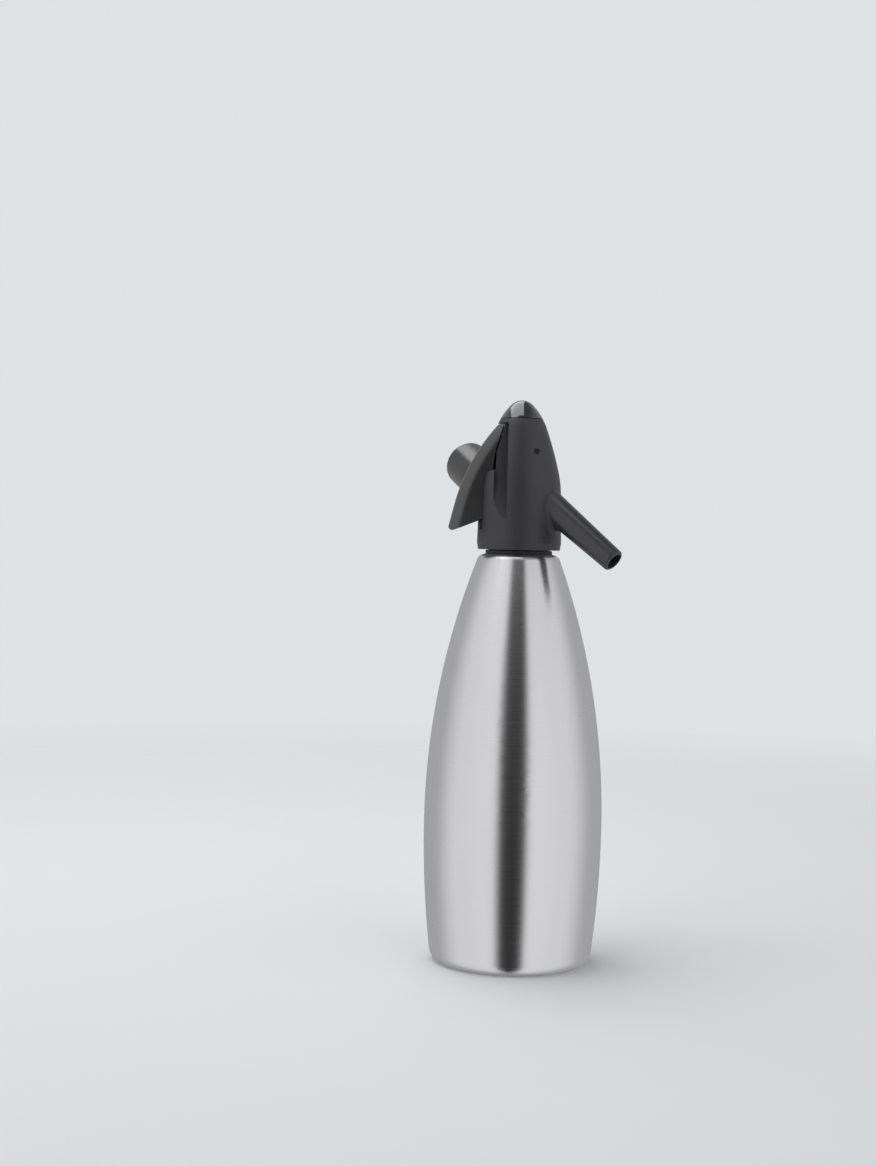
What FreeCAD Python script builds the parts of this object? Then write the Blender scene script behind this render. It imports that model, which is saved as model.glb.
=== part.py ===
import FreeCAD, Part
import math
import os
import Sketcher
from types import SimpleNamespace

# Soda siphon: a steel bottle, a screw-on plastic head with a squeeze lever, and a holder for
# one gas charger.  Millimetres, +Z up, origin in the middle of the ring that the bottle stands
# on.  The lever points to -X, the spout to +X and -Y, the charger holder to -X and +Y.

FULL_TURN = 360
RIGHT_ANGLE = 90
NUT_SIDES = 6
WIRE_SIDES = 6
COIL_STEPS = 12

doc = FreeCAD.newDocument("SodaSiphon")
sheet = doc.addObject("Spreadsheet::Sheet", "Sizes")

DRIVING_SIZES = {
    # Clearances
    "seat_gap": 0.05,
    "slip_gap": 0.3,
    "shell_gap": 0.5,
    "overcut": 1,
    "cut_reach": 6,
    "small_chamfer": 0.6,
    # Bottle
    "belly_radius": 50.1,
    "belly_height": 77,
    "lower_side_radius": 590,
    "bottle_top_radius": 22.58,
    "bottle_wall": 1.2,
    "foot_corner": 6.5,
    "foot_ring_width": 3.6,
    "base_rise": 7,
    "base_flat_width": 4,
    "shoulder_height": 228,
    "shoulder_corner": 4.5,
    "shoulder_slope_rise": 1.6,
    "neck_seat_edge": 0.4,
    "neck_seat_width": 2,
    # Neck
    "neck_radius": 17.8,
    "neck_bore": 14.6,
    "neck_length": 10.4,
    "neck_groove": 0.5,
    "neck_groove_length": 2,
    "buffer_ring_height": 1.8,
    "buffer_ring_radius": 18.8,
    "neck_spigot": 3.6,
    # Measuring tube and riser tube
    "flange_thickness": 1.5,
    "flange_inset": 0.8,
    "measuring_wall": 2.6,
    "measuring_length": 64,
    "ledge_width": 1,
    "plate_thickness": 2,
    "plate_recess": 1.7,
    "riser_radius": 4,
    "riser_wall": 0.8,
    "riser_foot_gap": 4,
    "riser_top_length": 6.5,
    "hub_radius": 6.6,
    "hub_length": 9,
    "gas_hole_radius": 1.5,
    "gas_hole_circle": 9.3,
    "gas_hole_count": 6,
    "gasket_thickness": 2,
    "gasket_width": 3.8,
    # Head shell
    "collar_radius": 23.7,
    "collar_gap": 2,
    "collar_lip": 0.7,
    "collar_lip_height": 4,
    "waist_radius": 22.95,
    "waist_band": 12,
    "waist_side_radius": 60,
    "shoulder_radius": 21.3,
    "shoulder_drop": 10.5,
    "nose_side_radius": 215,
    "nose_length": 25.2,
    "crown_radius": 13.8,
    "crown_band": 3.8,
    "crown_side_radius": 34,
    "cap_radius": 6.05,
    "cap_side_height": 8.2,
    "cap_dome_rise": 2.5,
    "cap_hollow_height": 3,
    "shell_wall": 2.5,
    "skirt_wall": 2.9,
    "shell_step": 0.5,
    "crown_taper": 1.8,
    "crown_ring": 2.5,
    "crown_ring_width": 2.5,
    "cap_wall": 2,
    "cap_spigot": 4,
    "cap_seam_width": 0.35,
    # Valve block
    "block_recess": 1.3,
    "block_roof": 0.5,
    "block_cone_radius": 15.5,
    "block_cone_rise": 2.6,
    "tower_foot_rise": 2,
    "tower_radius": 9.6,
    "inlet_depth": 4,
    "inlet_throat": 2.8,
    "chamber_rise": 6,
    "chamber_depth": 12.2,
    "chamber_radius": 6,
    "chamber_step": 0.6,
    # Valve
    "seat_thickness": 3.8,
    "seat_bore": 3.2,
    "seat_lip": 0.6,
    "seat_lip_width": 1,
    "sleeve_length": 8,
    "sleeve_wall": 1.6,
    "seal_thickness": 2,
    "nut_radius": 7,
    "nut_height": 2.5,
    "nut_spigot_length": 1,
    "stem_radius": 2,
    "stem_head_radius": 5.1,
    "stem_head_thickness": 1.8,
    "stem_guide_radius": 3.1,
    "stem_guide_length": 3.6,
    "washer_thickness": 2,
    "stem_reach": 5.8,
    "stem_cap_radius": 3.6,
    "stem_cap_height": 3,
    "stem_cap_roof": 1.2,
    "valve_coil": 4.25,
    "valve_wire": 0.45,
    "valve_turns": 5,
    # Lever
    "pin_offset": 8.67,
    "pin_rise": 2.5,
    "pin_radius": 1.5,
    "pin_inset": 1.5,
    "pin_boss_inset": 0.8,
    "lever_half_width": 10,
    "lever_wall": 2,
    "lever_back_wall": 2.6,
    "lever_top_wall": 3.9,
    "lever_end_wall": 4.2,
    "lever_end_height": 5.2,
    "lever_back_round": 7,
    "lever_top_x": 13.3,
    "lever_top_rise": 15,
    "lever_back_radius": 106.7,
    "lever_knee_x": 37,
    "lever_knee_drop": 30.5,
    "lever_tip_x": 39.9,
    "lever_tip_drop": 42.2,
    "lever_heel_x": 37.6,
    "lever_heel_drop": 44.5,
    "lever_sill_x": 19.2,
    "lever_sill_drop": 37.1,
    "lever_front_x": 15.4,
    "lever_front_drop": 9.9,
    "lever_brow_x": 14.6,
    "lever_brow_drop": 1.2,
    "lever_crest_x": 9.8,
    "lever_crest_rise": 0.6,
    "lever_lip_x": 8.4,
    "lever_tip_round": 2.2,
    "beam_half_width": 5,
    "beam_gap": 1,
    "beam_depth": 5.2,
    "beam_root_rise": 9.5,
    "beam_root_x": 24,
    "beam_head_x": 16.5,
    "beam_crest_x": 10,
    "nose_radius": 2,
    "hub_eye_radius": 3.4,
    "hub_half_length": 9.4,
    "pin_boss_radius": 2.6,
    # Openings in the head shell
    "lever_slot_gap": 0.8,
    "lever_front_gap": 0.6,
    "lever_front_swing": 1.6,
    "lever_brow_swing": 1,
    "window_height": 20.4,
    "window_inset": 3,
    "cheek_slot_height": 10,
    "cheek_slot_slope": 28,
    "cheek_slot_width": 3.4,
    "recess_edge": 7.2,
    "recess_wall": 1.4,
    "recess_floor_low": 22,
    "recess_floor_high": 8.5,
    "recess_floor_radius": 157,
    "recess_drop": 28,
    "post_edge": 14.7,
    "post_fall": 14,
    "post_round": 22,
    # Spout
    "spout_turn": 34,
    "spout_drop": 36,
    "spout_rise": 6,
    "spout_root": 17,
    "spout_root_radius": 8.35,
    "spout_length": 77.3,
    "spout_tip_radius": 6.35,
    "spout_root_round": 3,
    "spout_mouth_radius": 4.6,
    "spout_mouth_depth": 8,
    "spout_rim_round": 1.4,
    "spout_tube_radius": 4,
    "spout_tube_wall": 0.6,
    "spout_port_radius": 2.2,
    "spout_boss_radius": 6.6,
    "spout_boss_length": 17,
    "spout_socket": 6,
    "spout_seal_thickness": 1.2,
    # Charger and its holder
    "holder_turn": 115,
    "holder_rise": 22,
    "holder_lift": 8.3,
    "holder_radius": 13.6,
    "holder_start": 33,
    "holder_end_wall": 2.5,
    "holder_edge_round": 1.2,
    "holder_seam": 0.4,
    "insert_wall": 1.25,
    "insert_length": 10.5,
    "adaptor_start": 10.4,
    "adaptor_plug_radius": 7.5,
    "adaptor_thread_radius": 11,
    "adaptor_flange_length": 3,
    "adaptor_run_in": 1,
    "adaptor_nest": 2,
    "adaptor_end": 42,
    "adaptor_boss_radius": 8.8,
    "adaptor_boss_end": 17,
    "charger_start": 12,
    "charger_radius": 9.3,
    "charger_length": 65,
    "charger_wall": 1.6,
    "charger_neck_radius": 4.3,
    "charger_neck_length": 8,
    "charger_shoulder": 12,
    "charger_hole": 1.25,
    "cushion_thickness": 2.5,
    "needle_radius": 1,
    "needle_bore": 0.4,
    "needle_length": 4.9,
    "needle_bevel": 1,
    "needle_foot_radius": 2.6,
    "needle_foot_thickness": 1.5,
    "needle_reach": 1.6,
    "ring_seal_thickness": 1.6,
    "gas_port_radius": 0.9,
    # Relief valve
    "relief_turn": 30,
    "relief_circle": 11.6,
    "relief_boss_radius": 4.2,
    "relief_bore": 2.6,
    "relief_port_length": 1.7,
    "relief_port_radius": 1.2,
    "relief_bore_depth": 11.3,
    "relief_disc_thickness": 2,
    "relief_rod_radius": 0.8,
    "relief_rod_length": 4,
    "relief_cap_length": 4,
    "relief_coil": 1.75,
    "relief_wire": 0.3,
    "relief_turns": 5,
    # Retaining ring
    "ring_thickness": 0.8,
    "ring_groove": 0.7,
    "ring_gap": 9,
    "ring_inner_radius": 19.3,
}


class Size:
    """A number that also carries the spreadsheet expression it comes from."""

    def __init__(self, value, text):
        self.value = value
        self.text = text

    def __add__(self, other):
        other = as_size(other)
        return Size(self.value + other.value, f"({self.text} + {other.text})")

    def __sub__(self, other):
        other = as_size(other)
        return Size(self.value - other.value, f"({self.text} - {other.text})")

    def __mul__(self, other):
        other = as_size(other)
        return Size(self.value * other.value, f"({self.text} * {other.text})")

    def __truediv__(self, other):
        other = as_size(other)
        return Size(self.value / other.value, f"({self.text} / {other.text})")

    def __neg__(self):
        return Size(-self.value, f"(-1 * {self.text})")

    def __radd__(self, other):
        return as_size(other) + self

    def __rsub__(self, other):
        return as_size(other) - self

    def __rmul__(self, other):
        return as_size(other) * self


def as_size(number):
    """A plain number as a Size."""
    return number if isinstance(number, Size) else Size(float(number), f"({number:g})")


def root(size):
    """Square root."""
    return Size(math.sqrt(size.value), f"sqrt({size.text})")


def sine(degrees):
    return Size(math.sin(math.radians(degrees.value)), f"sin({degrees.text})")


def cosine(degrees):
    return Size(math.cos(math.radians(degrees.value)), f"cos({degrees.text})")


def tangent(degrees):
    return Size(math.tan(math.radians(degrees.value)), f"tan({degrees.text})")


for row, (alias, number) in enumerate(DRIVING_SIZES.items(), start=1):
    sheet.set(f"A{row}", alias.replace("_", " "))
    sheet.set(f"B{row}", f"{number:g}")
    sheet.setAlias(f"B{row}", alias)
doc.recompute()

s = SimpleNamespace(
    **{alias: Size(float(sheet.get(alias)), f"Sizes.{alias}") for alias in DRIVING_SIZES}
)


# ---------------------------------------------------------------- drawing and feature helpers


def bind(thing, name, size):
    """Tie one property of a document object to its expression."""
    size = as_size(size)
    thing.setExpression(name, size.text)


def place(x=0, y=0, z=0, yaw=0, pitch=0, roll=0):
    """Text of a placement expression: a point, then a turn about Z, Y and X in degrees."""
    spot = "; ".join(as_size(value).text for value in (x, y, z))
    turn = "; ".join(as_size(value).text for value in (yaw, pitch, roll))
    return f"placement(vector({spot}); rotation({turn}))"


def new_body(name, frame=None):
    """A PartDesign body, standing in the model's frame or in a tilted one."""
    body = doc.addObject("PartDesign::Body", name)
    if frame:
        body.setExpression("Placement", frame)
    return body


def new_sketch(body, name, plane):
    sketch = body.newObject("Sketcher::SketchObject", name)
    for feature in body.Origin.OriginFeatures:
        if feature.Role == plane:
            sketch.AttachmentSupport = (feature, [""])
    sketch.MapMode = "FlatFace"
    return sketch


def pin_point(sketch, edge, end, x, y):
    """Hold one end of an edge at a named distance from the sketch's axes."""
    for kind, axis, size in (("DistanceX", -2, x), ("DistanceY", -1, y)):
        size = as_size(size)
        if size.value == 0:
            sketch.addConstraint(Sketcher.Constraint("PointOnObject", edge, end, axis))
            continue
        index = sketch.addConstraint(Sketcher.Constraint(kind, -1, 1, edge, end, size.value))
        sketch.setExpression(f"Constraints[{index}]", size.text)


def bent_edge(start, end, radius):
    """The arc from start to end; a positive radius turns left, a negative one right."""
    chord = end - start
    half = chord.Length / 2
    height = math.sqrt(max(radius * radius - half * half, 0))
    left = FreeCAD.Vector(-chord.y, chord.x, 0).normalize()
    centre = (start + end) / 2 + left * math.copysign(height, radius)
    first, last = (start, end) if radius > 0 else (end, start)
    angles = [math.atan2((point - centre).y, (point - centre).x) for point in (first, last)]
    circle = Part.Circle(centre, FreeCAD.Vector(0, 0, 1), abs(radius))
    return Part.ArcOfCircle(circle, *angles)


def outline(body, name, plane, corners):
    """A closed outline: each corner is (x, y), or (x, y, radius) where an arc leaves it."""
    sketch = new_sketch(body, name, plane)
    spots = [FreeCAD.Vector(as_size(c[0]).value, as_size(c[1]).value, 0) for c in corners]
    starts = []
    for index, corner in enumerate(corners):
        start, end = spots[index], spots[(index + 1) % len(spots)]
        if len(corner) == 3:
            radius = as_size(corner[2])
            edge = sketch.addGeometry(bent_edge(start, end, radius.value), False)
            rule = sketch.addConstraint(Sketcher.Constraint("Radius", edge, abs(radius.value)))
            sketch.setExpression(f"Constraints[{rule}]", f"abs({radius.text})")
            starts.append(1 if radius.value > 0 else 2)
        else:
            sketch.addGeometry(Part.LineSegment(start, end), False)
            starts.append(1)
    for index, corner in enumerate(corners):
        before = index - 1 if index else len(corners) - 1
        joint = (before, 3 - starts[before], index, starts[index])
        sketch.addConstraint(Sketcher.Constraint("Coincident", *joint))
        pin_point(sketch, index, starts[index], corner[0], corner[1])
    return sketch


def circle(body, name, plane, x, y, radius):
    sketch = new_sketch(body, name, plane)
    x, y, radius = as_size(x), as_size(y), as_size(radius)
    centre = FreeCAD.Vector(x.value, y.value, 0)
    sketch.addGeometry(Part.Circle(centre, FreeCAD.Vector(0, 0, 1), radius.value), False)
    rule = sketch.addConstraint(Sketcher.Constraint("Radius", 0, radius.value))
    sketch.setExpression(f"Constraints[{rule}]", radius.text)
    pin_point(sketch, 0, 3, x, y)
    return sketch


def revolve(body, name, corners, kind="PartDesign::Revolution"):
    """Turn an outline of (radius, height) corners about the body's own Z axis."""
    feature = body.newObject(kind, name)
    feature.Profile = outline(body, f"{name}_outline", "XZ_Plane", corners)
    feature.ReferenceAxis = (feature.Profile[0], ["V_Axis"])
    feature.Angle = FULL_TURN
    return feature


def extrude(body, name, sketch, length, kind="PartDesign::Pad", side="Symmetric", flip=False):
    """Pad or pocket a sketch; the length is the whole one when it is symmetric."""
    feature = body.newObject(kind, name)
    feature.Profile = sketch
    feature.SideType = side
    feature.Reversed = flip
    bind(feature, "Length", length)
    return feature


def solid(body, kind, name, frame, **sizes):
    """An additive or subtractive primitive inside a body, such as AdditiveCone."""
    feature = body.newObject(f"PartDesign::{kind}", name)
    for label, size in sizes.items():
        bind(feature, label, size)
    feature.setExpression("Placement", frame)
    return feature


def round_edges(body, name, radius, choose):
    """Fillet those edges of the body's last feature that the chooser accepts."""
    doc.recompute()
    last = body.Tip
    names = [f"Edge{n}" for n, edge in enumerate(last.Shape.Edges, start=1) if choose(edge)]
    if not names:
        raise RuntimeError(f"{body.Label}: no edge to round for {name}")
    feature = body.newObject("PartDesign::Fillet", name)
    feature.Base = (last, names)
    bind(feature, "Radius", radius)
    return feature


def ring_edge(radius, height, slack=0.05):
    """A chooser for the round edge of this radius at this height on the body's axis."""

    def choose(edge):
        curve = edge.Curve
        return (
            isinstance(curve, Part.Circle)
            and abs(curve.Radius - as_size(radius).value) < slack
            and abs(curve.Center.z - as_size(height).value) < slack
        )

    return choose


def turned(name, corners, frame=None):
    """A whole piece that is turned from one outline."""
    body = new_body(name, frame)
    revolve(body, f"{name}_turned", corners)
    return body


def tube_corners(inner, outer, low, high):
    return [(inner, low), (outer, low), (outer, high), (inner, high)]


def coil_spring(name, coil, wire, low, high, turns, frame=None):
    """A closed-form compression spring: a six-sided wire swept along a helix."""
    count = int(turns.value * COIL_STEPS)
    rise = (high.value - low.value - 2 * wire.value) / count
    points = []
    for step in range(count + 1):
        angle = 2 * math.pi * step / COIL_STEPS
        height = low.value + wire.value + rise * step
        points.append(
            FreeCAD.Vector(coil.value * math.cos(angle), coil.value * math.sin(angle), height)
        )
    path = doc.addObject("Part::Feature", f"{name}_path")
    path.Shape = Part.makePolygon(points)
    section = doc.addObject("Part::RegularPolygon", f"{name}_section")
    section.Polygon = WIRE_SIDES
    bind(section, "Circumradius", wire)
    upright = FreeCAD.Rotation(FreeCAD.Vector(1, 0, 0), RIGHT_ANGLE)
    section.Placement = FreeCAD.Placement(points[0], upright)
    spring = doc.addObject("Part::Sweep", name)
    spring.Sections = [section]
    spring.Spine = (path, [])
    spring.Solid = True
    spring.Transition = "Right corner"
    if frame:
        spring.setExpression("Placement", frame)
    return spring


# ---------------------------------------------------------------- places worked out once

neck_seat = s.shoulder_height + s.shoulder_slope_rise
neck_top = neck_seat + s.neck_length
flange_top = neck_top + s.flange_thickness
socket_roof = flange_top + s.gasket_thickness
plate_bottom = neck_top - s.plate_recess
plate_top = plate_bottom + s.plate_thickness

collar_bottom = neck_seat + s.collar_gap
block_bottom = collar_bottom + s.block_recess
block_shoulder = socket_roof + s.block_roof
chamber_floor = block_shoulder + s.chamber_rise
seat_height = chamber_floor + s.chamber_depth
seat_top = seat_height + s.seat_thickness
sleeve_top = seat_top + s.sleeve_length
seal_top = sleeve_top + s.seal_thickness
tower_top = seal_top + s.nut_spigot_length
stem_top = tower_top + s.stem_reach
stem_cap_top = stem_top + s.stem_cap_roof
washer_top = seat_height - s.seat_lip
washer_bottom = washer_top - s.washer_thickness
stem_head_bottom = washer_bottom - s.stem_head_thickness

pin_height = stem_cap_top + s.pin_rise
beam_bottom = stem_cap_top + s.beam_gap
beam_root_top = pin_height + s.beam_root_rise
lever_top = pin_height + s.lever_top_rise
lever_brow = pin_height - s.lever_brow_drop
lever_front = pin_height - s.lever_front_drop
lever_knee = pin_height - s.lever_knee_drop
lever_sill = pin_height - s.lever_sill_drop
lever_tip = pin_height - s.lever_tip_drop
lever_heel = pin_height - s.lever_heel_drop

shoulder_level = pin_height - s.shoulder_drop
waist_height = shoulder_level - s.waist_band
crown_height = shoulder_level + s.nose_length
cap_seam = crown_height + s.crown_band
crown_floor = cap_seam - s.crown_ring
cap_level = cap_seam + s.cap_side_height
head_top = cap_level + s.cap_dome_rise
spout_height = seat_top + s.spout_rise
holder_height = socket_roof + s.holder_lift

neck_hole = s.neck_radius + s.neck_seat_edge - s.neck_seat_width
measuring_radius = s.neck_bore - s.shell_gap
measuring_bore = measuring_radius - s.measuring_wall
flange_radius = s.neck_radius - s.flange_inset
skirt_bore = s.collar_radius - s.skirt_wall
socket_radius = s.neck_radius + s.slip_gap
block_radius = skirt_bore - s.seat_gap
chamber_core = s.chamber_radius - s.seat_gap
lower_chamber = s.chamber_radius - s.chamber_step
stem_bore = s.stem_radius + s.seat_gap
crown_edge = s.crown_radius - s.crown_taper

relief_x = s.relief_circle * cosine(s.relief_turn)
relief_y = s.relief_circle * sine(s.relief_turn)
relief_seat = socket_roof + s.relief_port_length
relief_top = relief_seat + s.relief_bore_depth
relief_rod_top = relief_seat + s.relief_disc_thickness + s.relief_rod_length
relief_cap_bottom = relief_top - s.relief_cap_length

charger_end = s.charger_start + s.charger_length
holder_end = charger_end + s.cushion_thickness + s.holder_end_wall
needle_start = s.charger_start + s.needle_reach - s.needle_length
pin_shell_radius = s.shoulder_radius - (s.shoulder_radius - s.crown_radius) * (
    (pin_height - shoulder_level) / s.nose_length
)
pin_reach = root(pin_shell_radius * pin_shell_radius - s.pin_offset * s.pin_offset)
pin_half_length = pin_reach - s.pin_inset

SPOUT_FRAME = place(0, 0, spout_height, -s.spout_turn, RIGHT_ANGLE + s.spout_drop, 0)
HOLDER_FRAME = place(0, 0, holder_height, s.holder_turn, RIGHT_ANGLE - s.holder_rise, 0)


def spout_frame(along):
    """A frame on the spout's axis, this far from the head's axis."""
    flat = along * cosine(s.spout_drop)
    return place(
        flat * cosine(s.spout_turn),
        -flat * sine(s.spout_turn),
        spout_height - along * sine(s.spout_drop),
        -s.spout_turn,
        RIGHT_ANGLE + s.spout_drop,
        0,
    )


def holder_frame(along):
    """A frame on the charger holder's axis, this far from the head's axis."""
    flat = along * cosine(s.holder_rise)
    return place(
        flat * cosine(s.holder_turn),
        flat * sine(s.holder_turn),
        holder_height + along * sine(s.holder_rise),
        s.holder_turn,
        RIGHT_ANGLE - s.holder_rise,
        0,
    )


# ---------------------------------------------------------------- bottle


def arc_radius(half_chord, rise):
    """Radius of an arc from half of its chord and its rise."""
    return (half_chord * half_chord + rise * rise) / (2 * rise)


def bottle_radius(height, side_radius, inset=0):
    """Bottle radius at a height: both side arcs are upright at the belly."""
    rise = height - s.belly_height
    reach = side_radius - inset
    return s.belly_radius - side_radius + root(reach * reach - rise * rise)


def make_bottle_shell():
    """Deep-drawn bottle wall, open at the neck and inside the foot ring."""
    wall = s.bottle_wall
    foot = bottle_radius(as_size(0), s.lower_side_radius)
    foot_inside = bottle_radius(wall, s.lower_side_radius, wall)
    upper_height = s.shoulder_height - s.belly_height
    upper_side = arc_radius(upper_height, s.belly_radius - s.bottle_top_radius)
    shoulder_inside = bottle_radius(s.shoulder_height - wall, upper_side, wall)
    foot_opening = foot - s.foot_corner - s.foot_ring_width
    seat_edge = s.neck_radius + s.neck_seat_edge
    body = new_body("bottle_shell")
    revolve(
        body,
        "bottle_wall",
        [
            (foot_opening, 0),
            (foot, 0, s.lower_side_radius),
            (s.belly_radius, s.belly_height, upper_side),
            (s.bottle_top_radius, s.shoulder_height),
            (seat_edge, neck_seat),
            (neck_hole, neck_seat),
            (neck_hole, neck_seat - wall),
            (seat_edge, neck_seat - wall),
            (shoulder_inside, s.shoulder_height - wall, -(upper_side - wall)),
            (s.belly_radius - wall, s.belly_height, -(s.lower_side_radius - wall)),
            (foot_inside, wall),
            (foot_opening, wall),
        ],
    )
    round_edges(body, "foot_corner_out", s.foot_corner, ring_edge(foot, 0))
    round_edges(body, "foot_corner_in", s.foot_corner - wall, ring_edge(foot_inside, wall))
    round_edges(
        body,
        "shoulder_corner_out",
        s.shoulder_corner,
        ring_edge(s.bottle_top_radius, s.shoulder_height),
    )
    round_edges(
        body,
        "shoulder_corner_in",
        s.shoulder_corner - wall,
        ring_edge(shoulder_inside, s.shoulder_height - wall),
    )
    return body


def make_bottle_base():
    """Dished disc, welded on the inside of the foot ring."""
    wall = s.bottle_wall
    rim = bottle_radius(as_size(0), s.lower_side_radius) - s.foot_corner - s.seat_gap
    bend = rim - s.base_flat_width
    dish = arc_radius(bend, s.base_rise)
    low = wall
    return turned(
        "bottle_base",
        [
            (0, low + s.base_rise, -dish),
            (bend, low),
            (rim, low),
            (rim, low + wall),
            (bend, low + wall, dish),
            (0, low + s.base_rise + wall),
        ],
    )


def make_neck_ring():
    """Turned ring, brazed into the shoulder, that carries the bottle's thread."""
    spigot = neck_hole - s.seat_gap
    groove = s.neck_radius - s.neck_groove
    groove_top = neck_seat + s.neck_groove_length
    return turned(
        "neck_ring",
        [
            (s.neck_bore, neck_seat - s.neck_spigot),
            (spigot, neck_seat - s.neck_spigot),
            (spigot, neck_seat),
            (groove, neck_seat),
            (groove, groove_top),
            (s.neck_radius, groove_top + s.neck_groove),
            (s.neck_radius, neck_top - s.neck_groove),
            (groove, neck_top),
            (s.neck_bore, neck_top),
        ],
    )


def make_buffer_ring():
    """Black rubber ring in the neck's groove that keeps the collar off the shoulder."""
    bore = s.neck_radius - s.neck_groove + s.seat_gap
    top = neck_seat + s.buffer_ring_height
    return turned(
        "buffer_ring",
        [
            (bore, neck_seat),
            (s.buffer_ring_radius, neck_seat),
            (s.buffer_ring_radius, top - s.small_chamfer),
            (s.buffer_ring_radius - s.small_chamfer, top),
            (bore, top),
        ],
    )


# ---------------------------------------------------------------- tubes inside the bottle


def make_measuring_tube():
    """Loose sleeve in the neck; its lower end sets how far the bottle is filled."""
    ledge = measuring_bore - s.ledge_width
    low = neck_top - s.measuring_length
    return turned(
        "measuring_tube",
        [
            (ledge, low),
            (measuring_radius, low),
            (measuring_radius, neck_top),
            (flange_radius, neck_top),
            (flange_radius, flange_top),
            (measuring_bore, flange_top),
            (measuring_bore, plate_bottom),
            (ledge, plate_bottom),
        ],
    )


def make_riser_collar():
    """Moulded star plate that hangs the riser tube in the measuring tube."""
    body = new_body("riser_collar")
    hub_bottom = plate_bottom - s.hub_length
    bore = s.riser_radius + s.seat_gap
    revolve(
        body,
        "riser_plate",
        [
            (bore, hub_bottom),
            (s.hub_radius, hub_bottom),
            (s.hub_radius, plate_bottom),
            (measuring_bore - s.slip_gap, plate_bottom),
            (measuring_bore - s.slip_gap, plate_top),
            (bore, plate_top),
        ],
    )
    hole = circle(body, "gas_hole_circle", "XY_Plane", s.gas_hole_circle, 0, s.gas_hole_radius)
    bind(hole, "AttachmentOffset.Base.z", plate_bottom)
    pocket = extrude(body, "gas_hole", hole, s.plate_thickness * 3, "PartDesign::Pocket")
    doc.recompute()
    pattern = body.newObject("PartDesign::PolarPattern", "gas_holes")
    pattern.Originals = [pocket]
    for feature in body.Origin.OriginFeatures:
        if feature.Role == "Z_Axis":
            pattern.Axis = (feature, [""])
    pattern.Angle = FULL_TURN
    pattern.setExpression("Occurrences", s.gas_hole_count.text)
    body.Tip = pattern
    return body


def make_riser_tube():
    """Plain pipe from the valve block's inlet nearly down to the bottle's base."""
    low = s.bottle_wall * 2 + s.base_rise + s.riser_foot_gap
    high = plate_top + s.riser_top_length
    return turned(
        "riser_tube", tube_corners(s.riser_radius - s.riser_wall, s.riser_radius, low, high)
    )


def make_riser_tube_gasket():
    return turned(
        "riser_tube_gasket",
        tube_corners(s.riser_radius + s.seat_gap, s.hub_radius, plate_top, socket_roof),
    )


def make_head_gasket():
    return turned(
        "head_gasket",
        tube_corners(flange_radius - s.gasket_width, flange_radius, flange_top, socket_roof),
    )


# ---------------------------------------------------------------- head shell and cap


def add_pin_bosses(body):
    """Two short tubes inside the shell that carry the ends of the lever pin."""
    start = s.hub_half_length + s.slip_gap
    length = pin_half_length - s.pin_boss_inset - start
    for name, y, roll in (
        ("near_pin_boss", -start, RIGHT_ANGLE),
        ("far_pin_boss", start, -RIGHT_ANGLE),
    ):
        solid(
            body,
            "AdditiveCylinder",
            name,
            place(s.pin_offset, y, pin_height, 0, 0, roll),
            Radius=s.pin_boss_radius,
            Height=length,
        )


def offset_sketch(sketch, distance):
    """Move a sketch along its plane's normal."""
    bind(sketch, "AttachmentOffset.Base.z", distance)
    return sketch


def recess_outline(body, name, wall, top):
    """Side view of the recess beside the lever: its hollow floor runs out softly at the foot."""
    far = s.collar_radius + s.cut_reach
    low = shoulder_level - s.recess_drop
    corners = [
        (-far, low),
        (-s.recess_floor_low + wall, low, s.recess_floor_radius - wall),
        (-s.recess_floor_high + wall, top),
        (-far, top),
    ]
    return outline(body, name, "YZ_Plane", corners)


def make_hollow():
    """The space inside the shell, less the walls of the recess."""
    ring_bore = crown_edge - s.crown_ring_width
    inside = skirt_bore - s.shell_step
    hollow = turned(
        "hollow",
        [
            (0, collar_bottom - s.overcut),
            (skirt_bore, collar_bottom - s.overcut),
            (skirt_bore, block_bottom - s.ring_thickness),
            (skirt_bore + s.ring_groove, block_bottom - s.ring_thickness),
            (skirt_bore + s.ring_groove, block_bottom),
            (skirt_bore, block_bottom),
            (skirt_bore, block_shoulder),
            (inside, block_shoulder),
            (inside, waist_height),
            (s.shoulder_radius - s.shell_wall, shoulder_level),
            (s.crown_radius - s.shell_wall, crown_floor),
            (ring_bore, crown_floor),
            (ring_bore, cap_seam + s.overcut),
            (0, cap_seam + s.overcut),
        ],
    )
    top = cap_seam - s.cap_spigot - s.slip_gap
    walls = recess_outline(hollow, "recess_walls_outline", s.recess_wall, top)
    offset_sketch(walls, s.recess_wall - s.recess_edge)
    length = s.post_edge - s.recess_edge + s.recess_wall
    extrude(hollow, "recess_walls", walls, length, "PartDesign::Pocket", "One side")
    return hollow


def cut_recess(body):
    """The recess on the near side of the lever."""
    recess = recess_outline(body, "recess_outline", 0, crown_floor)
    offset_sketch(recess, -s.recess_edge)
    extrude(body, "recess", recess, s.post_edge - s.recess_edge, "PartDesign::Pocket", "One side")


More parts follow.
